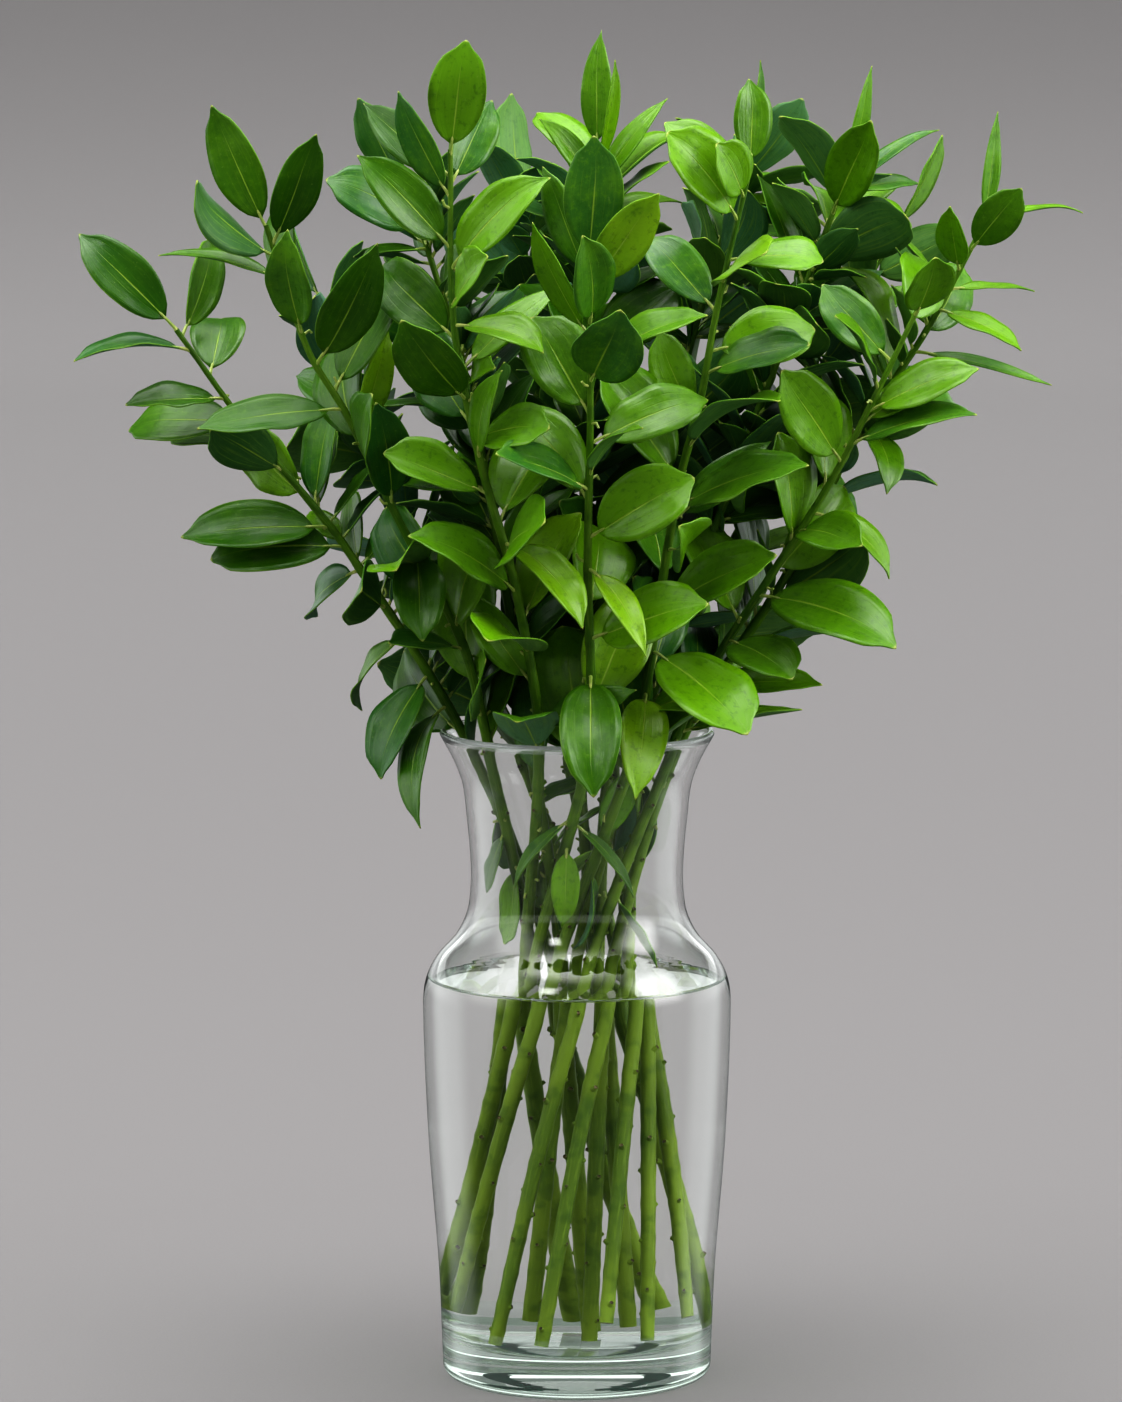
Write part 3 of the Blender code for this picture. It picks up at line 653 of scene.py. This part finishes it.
# Leaves in the model: each blade there is a thin diamond loft that ends in a four-cornered tip. Its
# two stations and its stalk's end are found from the tip, and the fine blade is laid through them.
MODEL_THICKNESS = 1.3
STATIONS = (0.0, 0.3, 0.68, 1.0)


def neighbours(corners):
    near = set()
    for corner in corners:
        near.update(edge.other_vert(corner) for edge in corner.link_edges)
    return near


class Blade:
    """One leaf: the four places of its midrib, its two sides, greatest half width and fold."""

    def __init__(self, midrib, sides, half_width, fold):
        self.midrib = midrib
        self.sides = sides
        self.half_width = half_width
        self.fold = fold
        self.length = (midrib[-1] - midrib[0]).length

    def spine(self, along):
        return through(STATIONS, self.midrib, along)

    def heading(self, along):
        return (self.spine(along + 0.01) - self.spine(along - 0.01)).normalized()

    def side(self, along):
        share = (along - STATIONS[1]) / (STATIONS[2] - STATIONS[1])
        heading = self.heading(along)
        side = self.sides[0].lerp(self.sides[1], share)
        return (side - heading * side.dot(heading)).normalized()


def through(knots, places, at):
    """The lowest polynomial curve through the places."""
    total = Vector((0, 0, 0))
    for i, place in enumerate(places):
        weight = 1.0
        for j, knot in enumerate(knots):
            if j != i:
                weight *= (at - knot) / (knots[i] - knot)
        total += place * weight
    return total


def middle(corners):
    return sum((corner.co for corner in corners), Vector((0, 0, 0))) / len(corners)


def ridge(ring):
    """The two corners of a station that are the blade's thickness apart, or None."""
    ring = list(ring)
    for i, a in enumerate(ring):
        for b in ring[i + 1:]:
            if abs((a.co - b.co).length - MODEL_THICKNESS * MM) < 0.02 * MM:
                return a, b
    return None


def measured(ring, heading):
    """The side direction, half width, middle and fold of a four-cornered station."""
    a, b = ridge(ring)
    margins = [corner for corner in ring if corner is not a and corner is not b]
    centre = (a.co + b.co) / 2
    raised = (margins[0].co + margins[1].co) / 2 - centre
    face = (a.co - b.co).normalized()
    if face.dot(raised) < 0:
        face.negate()
    side = heading.cross(face).normalized()
    half_width = abs((margins[0].co - margins[1].co).dot(side)) / 2
    return side, half_width, centre, raised.length / half_width


def outline(along):
    """Half the blade's width along it, as a part of its greatest half width."""
    return 2.994 * along**0.7 * (1 - along) ** 0.9


def blade_at(tip, far, near, base):
    """The blade of the model with this tip, these two stations and this base."""
    heading = (tip.co - middle(near)).normalized()
    near_side, half_width, near_middle, fold = measured(near, heading)
    far_side, _, far_middle, _ = measured(far, heading)
    later = (near_middle, far_middle, tip.co.copy())
    start = middle(base) if len(base) == 3 else through(STATIONS[1:], later, 0.0)
    return Blade((start, *later), (near_side, far_side), half_width / outline(STATIONS[1]), fold)


def blades_of(node):
    """Every leaf of a model node, found from its four-cornered tip."""
    shape = bmesh.new()
    shape.from_mesh(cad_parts[node].data)
    bmesh.ops.remove_doubles(shape, verts=shape.verts, dist=0.000002)
    found = []
    for tip in shape.verts:
        far = neighbours([tip])
        if len(far) != 4 or ridge(far) is None:
            continue
        near = neighbours(far) - far - {tip}
        if len(near) != 4 or ridge(near) is None:
            continue
        base = neighbours(near) - near - far
        found.append(blade_at(tip, far, near, base))
    shape.free()
    return sorted(found, key=lambda blade: tuple(blade.midrib[-1]))


blades = {name: blades_of(name) for name in names}

# Small leaves: the model has the large ones. Between them every cane carries smaller ones, which fill
# the bunch toward its middle. Each leans out from its cane, faces up it, and touches nothing. A few
# old ones hang down inside the vase's neck.
SMALL_LEAVES = 240
SMALL_TRIES = 6500
SMALL_LEANS = (38, 78)
SMALL_DEPTHS = (14, 1000)
BARE_TIP = 6.0
SMALL_LENGTH = (24, 42)
SMALL_HALF_WIDTH = (0.22, 0.30)
NECK_LEAVES = 14
NECK_TRIES = 4000
NECK_LEANS = (105, 168)
NECK_DEPTHS = (-72, -4)
NECK_BOTTOM = 170
NECK_CLEARANCE = 2.5
SMALL_STALK = 4.0
LEAF_CLEARANCE = 1.5
CANE_CLEARANCE = 3.4
BUNCH_HALF_WIDTHS = ((270, 60), (350, 112), (420, 148), (470, 150), (515, 120))
BUNCH_FRONT = 0.26
BUNCH_BACK = 0.60
SHEET_ROWS = (0.0, 0.15, 0.35, 0.55, 0.75, 0.9, 1.0)
SHEET_COLUMNS = (-1, -0.5, 0, 0.5, 1)


def fullness(height):
    """Half the bunch's width at a height."""
    for (low, narrow), (high, wide) in zip(BUNCH_HALF_WIDTHS, BUNCH_HALF_WIDTHS[1:]):
        if low <= height <= high:
            return narrow + (wide - narrow) * (height - low) / (high - low)
    return 0.0


def in_bunch(place):
    x, y, z = place / MM
    half_width = fullness(z)
    depth = half_width * (BUNCH_FRONT if y < 0 else BUNCH_BACK)
    return half_width > 0 and (x / half_width) ** 2 + (y / depth) ** 2 < 1


def in_neck(place):
    x, y, z = place / MM
    wall = min(inside, key=lambda point: abs(point[1] - z))[0]
    return z > NECK_BOTTOM and math.hypot(x, y) < wall - NECK_CLEARANCE


def grown(line, length, leans, draw):
    """A small blade that leans out from its cane."""
    root, heading, out = line.outward(length, draw.uniform(0, 2 * math.pi))
    lean = math.radians(draw.uniform(*leans))
    way = out * math.sin(lean) + heading * math.cos(lean)
    upward = out * -math.cos(lean) + heading * math.sin(lean)
    level = way.cross(upward)
    twist = math.radians(draw.uniform(-25, 25))
    side = level * math.cos(twist) + upward * math.sin(twist)
    face = upward * math.cos(twist) - level * math.sin(twist)
    size = draw.uniform(*SMALL_LENGTH) * MM
    arch = draw.uniform(-0.22, 0.08) * size
    sweep = draw.uniform(-0.08, 0.08) * size
    start = root + way * SMALL_STALK * MM
    midrib = tuple(start + way * size * v + (face * arch + side * sweep) * v * v for v in STATIONS)
    return Blade(midrib, (side, side), size * draw.uniform(*SMALL_HALF_WIDTH), draw.uniform(0.05, 0.35))


def sheet_over(blade, rise):
    """The corners of a coarse sheet over a blade, a little above or below it."""
    corners = []
    for along in SHEET_ROWS:
        side = blade.side(along)
        face = side.cross(blade.heading(along))
        half = blade.half_width * outline(along) * 1.05
        for across in SHEET_COLUMNS:
            lift = rise * MM + blade.fold * abs(across) * half
            corners.append(blade.spine(along) + side * half * across + face * lift)
    return corners


def tree_over(blades, rise=0.0):
    corners = []
    faces = []
    for blade in blades:
        first = len(corners)
        corners += sheet_over(blade, rise)
        wide = len(SHEET_COLUMNS)
        for row in range(len(SHEET_ROWS) - 1):
            for column in range(wide - 1):
                a = first + row * wide + column
                faces.append((a, a + 1, a + wide + 1, a + wide))
    return BVHTree.FromPolygons(corners, faces)


# What a small leaf keeps clear of: the canes, past its base, and the leaves already there
wood = KDTree(sum(len(line.places) for line in canes))
for line in canes:
    for place in line.places:
        wood.insert(place, 0)
wood.balance()
draw = random.Random(5)
taken = [tree_over([blade for own in blades.values() for blade in own])]


def fill(wanted, tries, leans, depths, allowed):
    """Grows small leaves where they fit on the canes, at these distances past the vase's mouth."""
    made = 0
    for _ in range(tries):
        if made == wanted:
            break
        choice = draw.randrange(len(canes))
        line = canes[choice]
        lowest = mouths[choice] + depths[0] * MM
        highest = min(mouths[choice] + depths[1] * MM, line.length - BARE_TIP * MM)
        length = draw.uniform(lowest, highest)
        blade = grown(line, length, leans, draw)
        corners = sheet_over(blade, 0)
        if not all(allowed(corner) for corner in corners):
            continue
        past_base = corners[2 * len(SHEET_COLUMNS):]
        if any(wood.find(corner)[2] < CANE_CLEARANCE * MM for corner in past_base):
            continue
        sheets = [tree_over([blade], rise) for rise in (-LEAF_CLEARANCE, 0, LEAF_CLEARANCE)]
        if any(sheet.overlap(tree) for sheet in sheets for tree in taken):
            continue
        blades[names[choice]].append(blade)
        taken.append(sheets[1])
        made += 1


fill(SMALL_LEAVES, SMALL_TRIES, SMALL_LEANS, SMALL_DEPTHS, in_bunch)
fill(NECK_LEAVES, NECK_TRIES, NECK_LEANS, NECK_DEPTHS, in_neck)

# Cane finish: smooth green bark with fine lengthwise streaks, fresh green above and more olive
# toward the old foot. Old leaf scars are brown, leaf stalks are thin and pale yellow green.
OLIVE = (0.155, 0.228, 0.020, 1)
FRESH = (0.065, 0.160, 0.006, 1)
STREAK = (0.21, 0.31, 0.040, 1)
SHADE = (0.030, 0.085, 0.010, 1)
BLOTCH = (0.030, 0.080, 0.006, 1)
OLD_FROM = 0.27
OLD_BY = 0.10
SCAR_SPACING = (8.5, 15.0)
SCAR_SIZES = (0.9, 1.4)
SCAR_TOP = 0.6
SCAR_TURN = 2.4
STALK_STEPS = 7
STALK_SIDES = 6
STUB_RADII = (0.75, 0.6, 0.62, 0.5)
STUB_EVERY = 24.0
STUBS_BELOW_MOUTH = 80.0
NODE_SWELLING = 0.09
NODE_WIDTH = 2.2

green_bark = Paint("green_bark", Specular_IOR_Level=0.25)
around, along = green_bark.across_and_along()
turn = around * (2 * math.pi)
rolled = {"X": turn.sine(), "Y": (turn + math.pi / 2).sine(), "Z": along * 14}
streaks = green_bark.noise(green_bark.node("CombineXYZ", None, rolled), 3.2, 4, 0.6)
blotches = green_bark.noise(green_bark.place(), 120, 3)
sunny = green_bark.noise(green_bark.place(), 14, 1)
height = green_bark.node("SeparateXYZ", None, (green_bark.place(),), "Z")
old = height.rise(OLD_FROM, OLD_BY)
colour = green_bark.mix(old, FRESH, OLIVE)
colour = green_bark.mix(sunny.rise(0.42, 0.62) * (old * 0.45 + 0.15), colour, STREAK)
colour = green_bark.mix(sunny.rise(0.50, 0.36) * 0.5, colour, SHADE)
colour = green_bark.mix(streaks.rise(0.45, 0.75) * 0.55, colour, STREAK)
colour = green_bark.mix(blotches.rise(0.48, 0.7) * 0.5, colour, BLOTCH)
green_bark.set(Base_Color=colour, Roughness=streaks * 0.2 + 0.32)
green_bark.bump(streaks + blotches * 0.4, 0.35, 0.0004)


def speckled(name, roughness, scale, detail, fade, ground, specks):
    """A plain finish with fine specks of a second colour."""
    paint = Paint(name, Roughness=roughness)
    speckle = paint.noise(paint.place(), scale, detail)
    paint.set(Base_Color=paint.mix(speckle.rise(*fade), ground, specks))
    return paint


PAINTS = (
    green_bark,
    speckled("pale_leaf_stalk", 0.42, 420, 2, (0.4, 0.7), (0.26, 0.36, 0.07, 1), (0.42, 0.46, 0.14, 1)),
    speckled("leaf_scar", 0.6, 900, 2, (0.4, 0.65), (0.040, 0.036, 0.010, 1), (0.13, 0.105, 0.035, 1)),
    speckled("cut_end", 0.55, 1400, 3, (0.35, 0.7), (0.33, 0.36, 0.15, 1), (0.17, 0.20, 0.06, 1)),
)
BARK, STALK, SCAR, CUT = range(len(PAINTS))

# A scar's blank: a short cone of bark with a brown hollow top
bpy.ops.object.select_all(action="DESELECT")
bpy.ops.mesh.primitive_cone_add(vertices=9, radius1=1.15, radius2=0.62, depth=1.3, location=(0, 0, 0.35))
scar_blank = bpy.context.object
bpy.ops.object.transform_apply()
bpy.ops.object.mode_set(mode="EDIT")
bpy.ops.mesh.select_mode(type="FACE")
bpy.ops.mesh.select_all(action="DESELECT")
shape = bmesh.from_edit_mesh(scar_blank.data)
for face in shape.faces:
    face.select = face.normal.z > 0.9
bmesh.update_edit_mesh(scar_blank.data)
bpy.ops.mesh.inset(thickness=0.2, depth=-0.25)
bpy.ops.mesh.select_mode(type="VERT")
bpy.ops.object.mode_set(mode="OBJECT")
for face in scar_blank.data.polygons:
    face.material_index = SCAR if face.center.z > SCAR_TOP else BARK
bpy.ops.object.shade_smooth_by_angle(angle=math.radians(40))

draw = random.Random(7)


def swollen(line, nodes):
    """The cane's radii: tapering, and a little thicker at each node."""
    radii = []
    for length in line.run:
        swell = sum(math.exp(-(((length - node) / (NODE_WIDTH * MM)) ** 2)) for node in nodes)
        radii.append(thickness(length / line.length) * (1 + NODE_SWELLING * min(swell, 1.2)))
    return radii


def leaf_stalk(root, root_heading, blade):
    """The pale stalk, from inside the cane to under the blade's base."""
    start = blade.spine(0)
    heading = blade.heading(0.02)
    reach = (start - root).length
    outward = (start - root).normalized()
    bow = (outward + root_heading * 0.5).normalized()
    places = []
    for step in range(STALK_STEPS + 1):
        t = step / STALK_STEPS
        a = root.lerp(root + bow * reach * 0.6, t)
        b = (start - heading * reach * 0.4).lerp(start + heading * blade.length * 0.07, t)
        places.append(a.lerp(b, t * t * (3 - 2 * t)))
    radii = [MM * (0.85 - 0.3 * i / STALK_STEPS + 0.15 * math.exp(-i)) for i in range(STALK_STEPS + 1)]
    radii[-1] *= 0.5
    return tube("leaf_stalk", places, radii, STALK_SIDES)


def stub(line, length, bearing):
    """A pale bent end of a leaf stalk whose leaf is gone."""
    root, heading, out = line.outward(length, bearing)
    bend = root + (out * draw.uniform(2.4, 3.6) + heading * draw.uniform(0.5, 2)) * MM
    end = bend + (heading * draw.uniform(-2, 3) + out * draw.uniform(0.2, 1.4)) * MM
    radii = [radius * MM for radius in STUB_RADII]
    return tube("stub", [root, root.lerp(bend, 0.6), bend, end], radii, STALK_SIDES)


def on_cane(blank, line, length, bearing, size):
    """A copy of a blank, set on the cane's skin and leaning up it."""
    root, heading, out = line.outward(length, bearing)
    lean = (out + heading * 0.45).normalized()
    turn = lean.to_track_quat("Z", "Y").to_matrix().to_4x4()
    place = Matrix.Translation(root + out * thickness(length / line.length) * 0.92)
    copy = copy_of(blank, "scar")
    copy.data.transform(place @ turn @ Matrix.Scale(size * MM, 4))
    return copy


def paint_all(piece, index):
    for face in piece.data.polygons:
        face.material_index = index


for name, line, mouth in zip(names, canes, mouths):
    roots = [line.nearest(blade.spine(-0.13)) for blade in blades[name]]
    low_nodes = []
    length = draw.uniform(5, 12) * MM
    while length < mouth:
        low_nodes.append(length)
        length += draw.uniform(*SCAR_SPACING) * MM
    cane = tube("cane", line.places, swollen(line, roots + low_nodes), CANE_SIDES, CANE_RIBS)
    foot, heading = line.at(0)
    for face in cane.data.polygons:
        at_foot = (face.center - foot).length < 0.5 * MM and abs(face.normal.dot(heading)) > 0.9
        face.material_index = CUT if at_foot else BARK
    parts = [cane]
    bearing = draw.uniform(0, 2 * math.pi)
    for length in low_nodes:
        parts.append(on_cane(scar_blank, line, length, bearing, draw.uniform(*SCAR_SIZES)))
        bearing += SCAR_TURN + draw.uniform(-0.4, 0.4)
    for length, blade in zip(roots, blades[name]):
        root, heading = line.at(length)
        parts.append(leaf_stalk(root, heading, blade))
        paint_all(parts[-1], STALK)
    length = mouth - STUBS_BELOW_MOUTH * MM
    while length < line.length - 20 * MM:
        parts.append(stub(line, length, draw.uniform(0, 2 * math.pi)))
        paint_all(parts[-1], STALK)
        length += STUB_EVERY * draw.uniform(0.5, 1.5) * (0.6 if length < mouth else 1.0) * MM
    for part in parts:
        clad(part, *PAINTS)
    stalks = joined(name.replace("ruscus_stem", "cane"), parts)
    bpy.ops.object.shade_smooth_by_angle(angle=SMOOTH)
    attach(stalks, BODY)
    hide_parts(name)

bpy.data.objects.remove(scar_blank)

# Leaves: leathery glossy blades, dark green above and duller blue green beneath, with a pale midrib
# that fades toward a short drawn-out point, fine lengthwise veins and a thin pale edge. Young ones
# are yellow green. Each is one flat grid laid on its blade in the model, then given its thickness.
# A leaf's green runs from 0, old and dark, to 1, young and yellow green, and carries painted light
# and shade as well: leaves in the sunny spots and on the right are painted lighter, and those inside
# the bunch and on the left darker. The paler, cooler underside greens are partly painted sheen.
# The spots are leaf middles in the front view, x and then z.
BLADE_COLUMNS = 8
BLADE_ROWS = 20
BLADE_THICKNESS = 0.5
POINT_START = 0.86
BLUNT = (0.58, 1.05)
WAVE_HEIGHT = 0.085
TIP_CURL = 0.09
ROW_CROWDING = 1.3
RIB_GREEN = (0.27, 0.40, 0.045, 1)
EDGE_GREEN = (0.22, 0.38, 0.05, 1)
TIP_GREEN = (0.38, 0.42, 0.10, 1)
SPECK_GREEN = (0.18, 0.28, 0.06, 1)
YOUNG_ONE_IN = 12
# Painted light: leaves near these sunny spots, and past the sunny side, are set lighter; those inside and
# past the shady side darker, as painted shade.
SUNNY_SPOTS = ((-12, 327), (16, 311), (21, 264), (-68, 411), (21, 467), (-7, 208), (62, 444), (8, 515))
SUNNY_REACH = 12.0
# Painted light and shade: these leaves are set to the green they show, lit or shaded, not to their age
# alone.
SEEN_YOUTH_AND_PAINTED_LIGHT = (
    (65, 370, 0.60), (5, 271, 0.12), (-43, 340, 0.60), (-112, 446, 0.50), (-179, 446, 0.0),
    (-133, 491, 0.15), (-46, 519, 0.36), (6, 481, 0.50), (-123, 393, 0.06),
)
SEEN_REACH = 4.0
BROAD = 10.5
BROAD_LUCK = (0.25, 0.45)
SHADY_SIDE = -45
SUNNY_SIDE = 45
INNER_DEPTHS = (-12, 45)
INNER_SHARE = 0.75
INNER_TOP = 470
YOUNG_BOTTOM = 330
# Sunny and right are painted light, inner and left painted shade; young ones are young.
YOUTHS_AND_PAINTED_LIGHT = {
    "sunny": (0.58, 0.25), "young": (0.5, 0.15), "inner": (0.005, 0.125), "left": (0.03, 0.16),
    "right": (0.18, 0.42), "middle": (0.09, 0.5),
}

bpy.ops.object.select_all(action="DESELECT")
bpy.ops.mesh.primitive_grid_add(x_subdivisions=BLADE_COLUMNS, y_subdivisions=BLADE_ROWS, size=1)
flat_leaf = bpy.context.object
bpy.ops.object.shade_smooth()


def half_share(along, blunt):
    """The fine blade's half width: full toward a short drawn-out point."""
    widest = 0.68 / (0.68 + blunt)
    full = (along / widest) ** 0.68 * ((1 - along) / (1 - widest)) ** blunt
    drawn_in = max(0.0, (along - POINT_START) / (1 - POINT_START))
    return full * (1 - 0.68 * drawn_in * (2 - drawn_in) * (1 - along) ** 0.12)


def leaf_on(blade, draw):
    """The flat leaf laid along a blade of the model, with its own waves."""
    leaf = copy_of(flat_leaf, "leaf")
    phase = [draw.uniform(0, 2 * math.pi) for _ in range(2)]
    waves = [draw.uniform(1.2, 2.4) for _ in range(2)]
    height = [WAVE_HEIGHT * draw.uniform(0.2, 1.0) for _ in range(2)]
    skew = draw.uniform(-0.05, 0.05)
    cup = draw.uniform(-0.06, 0.10)
    slimness = blade.length / blade.half_width / 2
    blunt = min(max(0.12 + 0.30 * slimness, BLUNT[0]), BLUNT[1]) + draw.uniform(-0.05, 0.05)
    curl = blade.length * TIP_CURL * draw.uniform(-1.0, 0.5)
    hook = blade.length * TIP_CURL * draw.uniform(-0.5, 0.5)
    for vertex in leaf.data.vertices:
        across = vertex.co.x * 2
        along = 1 - (0.5 - vertex.co.y) ** ROW_CROWDING
        place = blade.spine(along)
        heading = blade.heading(along)
        side = blade.side(along)
        face = side.cross(heading)
        edge = 0 if across < 0 else 1
        half = max(blade.half_width * half_share(along, blunt), 0.5 * MM * (1 - along))
        ripple = math.sin(waves[edge] * 2 * math.pi * along + phase[edge]) * height[edge]
        lift = blade.fold * abs(across) ** 1.2 + ripple * across**2 * 4 * along * (1 - along)
        lift += cup * (across**2 - abs(across)) * 2
        late = max(0.0, (along - 0.6) / 0.4) ** 2
        out = half * (across + skew * (1 - across**2)) + hook * late
        vertex.co = place + side * out + face * (lift * half + curl * late)
    return leaf


def laminate(name, colours, veins, gloss, roughness):
    """A face of the leaf: its green from young to old, with painted light and shade, and its midrib,
    veins, edge and small blemishes.
    """
    young, middle_green, dark, cool = colours
    paint = Paint(name, Specular_IOR_Level=gloss)
    u, v = paint.across_and_along()
    across = abs(u * 2 - 1)
    own = paint.node("Attribute", {"attribute_name": "leaf"}, output="Color")
    youth_and_light = paint.node("SeparateColor", None, (own,), "Red")
    luck = paint.node("SeparateColor", None, (own,), "Green")
    chill = paint.node("SeparateColor", None, (own,), "Blue")
    clouds = paint.noise(paint.place(), 46, 2, 0.5)
    patches = paint.noise(paint.place(), 130, 3, 0.6)
    mottle = paint.noise(paint.place(), 340, 4, 0.7)
    specks = paint.noise(paint.place(), 800, 2)
    wander = paint.noise(paint.place(), 30, 1) * 3
    fibres = {"X": u * 26 + wander, "Y": v * 1.6, "Z": luck * 40}
    streaks = paint.noise(paint.node("CombineXYZ", None, fibres), 1.0, 3, 0.65)
    wavy = paint.noise(paint.place(), 70, 1) * 5
    lines = (u * 44 + wavy + luck * 6).sine().rise(0.84, 1.0) * v.rise(1.0, 0.6) * patches.rise(0.35, 0.6)
    ribs = {"X": u * 6 + wander, "Y": v * 1.1, "Z": luck * 30}
    folds = paint.noise(paint.node("CombineXYZ", None, ribs), 1.0, 1)
    # Dark to yellow green by youth together with painted light and shade, from the leaf's red channel
    colour = paint.mix(youth_and_light.rise(0.0, 0.5), dark, middle_green)
    colour = paint.mix(youth_and_light.rise(0.5, 1.0), colour, young)
    colour = paint.mix(chill.rise(0.5, 0.9) * youth_and_light.rise(0.8, 0.5) * 0.8, colour, cool)
    fresh_and_lit = youth_and_light.rise(0.0, 0.30) * 0.8 + 0.2
    colour = paint.mix(clouds.rise(0.40, 0.70) * fresh_and_lit * 0.45, colour, middle_green)
    colour = paint.mix(patches.rise(0.55, 0.75) * 0.25, colour, dark)
    colour = paint.mix(mottle.rise(0.50, 0.70) * fresh_and_lit * 0.45, colour, middle_green)
    colour = paint.mix(mottle.rise(0.48, 0.32) * 0.45, colour, dark)
    colour = paint.mix(lines * veins * 0.7, colour, young)
    colour = paint.mix(streaks.rise(0.52, 0.74) * veins, colour, young)
    colour = paint.mix(streaks.rise(0.46, 0.30) * veins, colour, dark)
    colour = paint.mix(specks.rise(0.66, 0.74) * 0.3, colour, SPECK_GREEN)
    width = v.rise(0.8, 0.0) * 0.026 + 0.010
    rib = (across / width).rise(1.5, 0.5) * v.rise(0.85, 0.25)
    colour = paint.mix(rib * 0.75, colour, RIB_GREEN)
    colour = paint.mix(across.rise(0.970, 0.997) * clouds.rise(0.40, 0.6) * 0.4, colour, EDGE_GREEN)
    colour = paint.mix(v.rise(0.93, 0.985) * 0.7, colour, TIP_GREEN)
    paint.set(Base_Color=colour, Roughness=clouds * 0.16 + streaks * 0.06 + roughness)
    relief = streaks * 0.10 + folds * 0.4 - rib * 0.3 - lines * 0.06 + clouds * 1.9 + patches * 0.4
    paint.bump(relief, 0.6, 0.0009)
    return paint


UPPER_GREENS = (
    (0.210, 0.355, 0.008, 1), (0.118, 0.275, 0.002, 1), (0.023, 0.092, 0.001, 1), (0.020, 0.105, 0.020, 1)
)
# Painted sheen, in part: the lighter underside greens, the teal one most, stand for a whitish blue sheen.
UNDER_GREENS_AND_PAINTED_SHEEN = (
    (0.200, 0.340, 0.045, 1), (0.100, 0.225, 0.050, 1), (0.038, 0.118, 0.030, 1), (0.110, 0.255, 0.180, 1)
)
EDGE_GREENS = (
    (0.230, 0.390, 0.020, 1), (0.110, 0.260, 0.012, 1), (0.060, 0.170, 0.012, 1), (0.060, 0.170, 0.040, 1)
)
upper = laminate("leaf_upper", UPPER_GREENS, 0.13, 0.43, 0.20)
under = laminate("leaf_under", UNDER_GREENS_AND_PAINTED_SHEEN, 0.42, 0.30, 0.34)
brink = laminate("leaf_edge", EDGE_GREENS, 0.10, 0.20, 0.42)


def youth_and_painted_light(blade, luck):
    """How young a leaf is, with painted light and shade in it: leaves in the few sunny spots at the front
    are painted light, those on the right a little lighter, and those inside and on the left painted
    darkest.
    """
    x, y, z = blade.spine(0.5) / MM
    if blade.half_width > BROAD * MM:
        luck = BROAD_LUCK[0] + BROAD_LUCK[1] * luck
    inner = INNER_DEPTHS[0] < y < INNER_DEPTHS[1] and abs(x) < INNER_SHARE * fullness(z) and z < INNER_TOP
    if y < 30 and any(math.hypot(x - spot[0], z - spot[1]) < SUNNY_REACH for spot in SUNNY_SPOTS):
        kind = "sunny"
    elif draw.randrange(YOUNG_ONE_IN) == 0 and z > YOUNG_BOTTOM and not inner:
        kind = "young"
    elif inner:
        kind = "inner"
    elif x < SHADY_SIDE:
        kind = "left"
    else:
        kind = "right" if x > SUNNY_SIDE else "middle"
    least, span = YOUTHS_AND_PAINTED_LIGHT[kind]
    return least + span * luck


def seen_youth_and_painted_light(blade, youth_and_light):
    """The youth of a leaf whose green the photograph shows well, with the light and shade it shows there
    painted in, or else the value given.
    """
    x, y, z = blade.spine(0.5) / MM
    for seen_x, seen_z, seen_youth_and_light in SEEN_YOUTH_AND_PAINTED_LIGHT:
        if y < 0 and math.hypot(x - seen_x, z - seen_z) < SEEN_REACH:
            return seen_youth_and_light
    return youth_and_light


draw = random.Random(11)
for name in names:
    parts = []
    for blade in blades[name]:
        leaf = leaf_on(blade, draw)
        # Youth together with painted light and shade
        youth_and_light = seen_youth_and_painted_light(blade, youth_and_painted_light(blade, draw.random()))
        tint = leaf.data.attributes.new("leaf", "FLOAT_COLOR", "POINT")
        colour = (youth_and_light, draw.random(), draw.random(), 1.0)
        tint.data.foreach_set("color", colour * len(leaf.data.vertices))
        parts.append(leaf)
    foliage = joined(name.replace("ruscus_stem", "leaves"), parts)
    clad(foliage, upper, under, brink)
    bpy.ops.object.mode_set(mode="EDIT")
    bpy.ops.mesh.select_all(action="SELECT")
    bpy.ops.mesh.remove_doubles(threshold=MERGE / 2)
    bpy.ops.object.mode_set(mode="OBJECT")
    solid = foliage.modifiers.new("thickness", "SOLIDIFY")
    solid.thickness = BLADE_THICKNESS * MM
    solid.offset = -1
    solid.material_offset = 1
    solid.material_offset_rim = 2
    bpy.ops.object.modifier_apply(modifier=solid.name)
    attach(foliage, BODY)
    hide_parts(name)
bpy.data.objects.remove(flat_leaf)
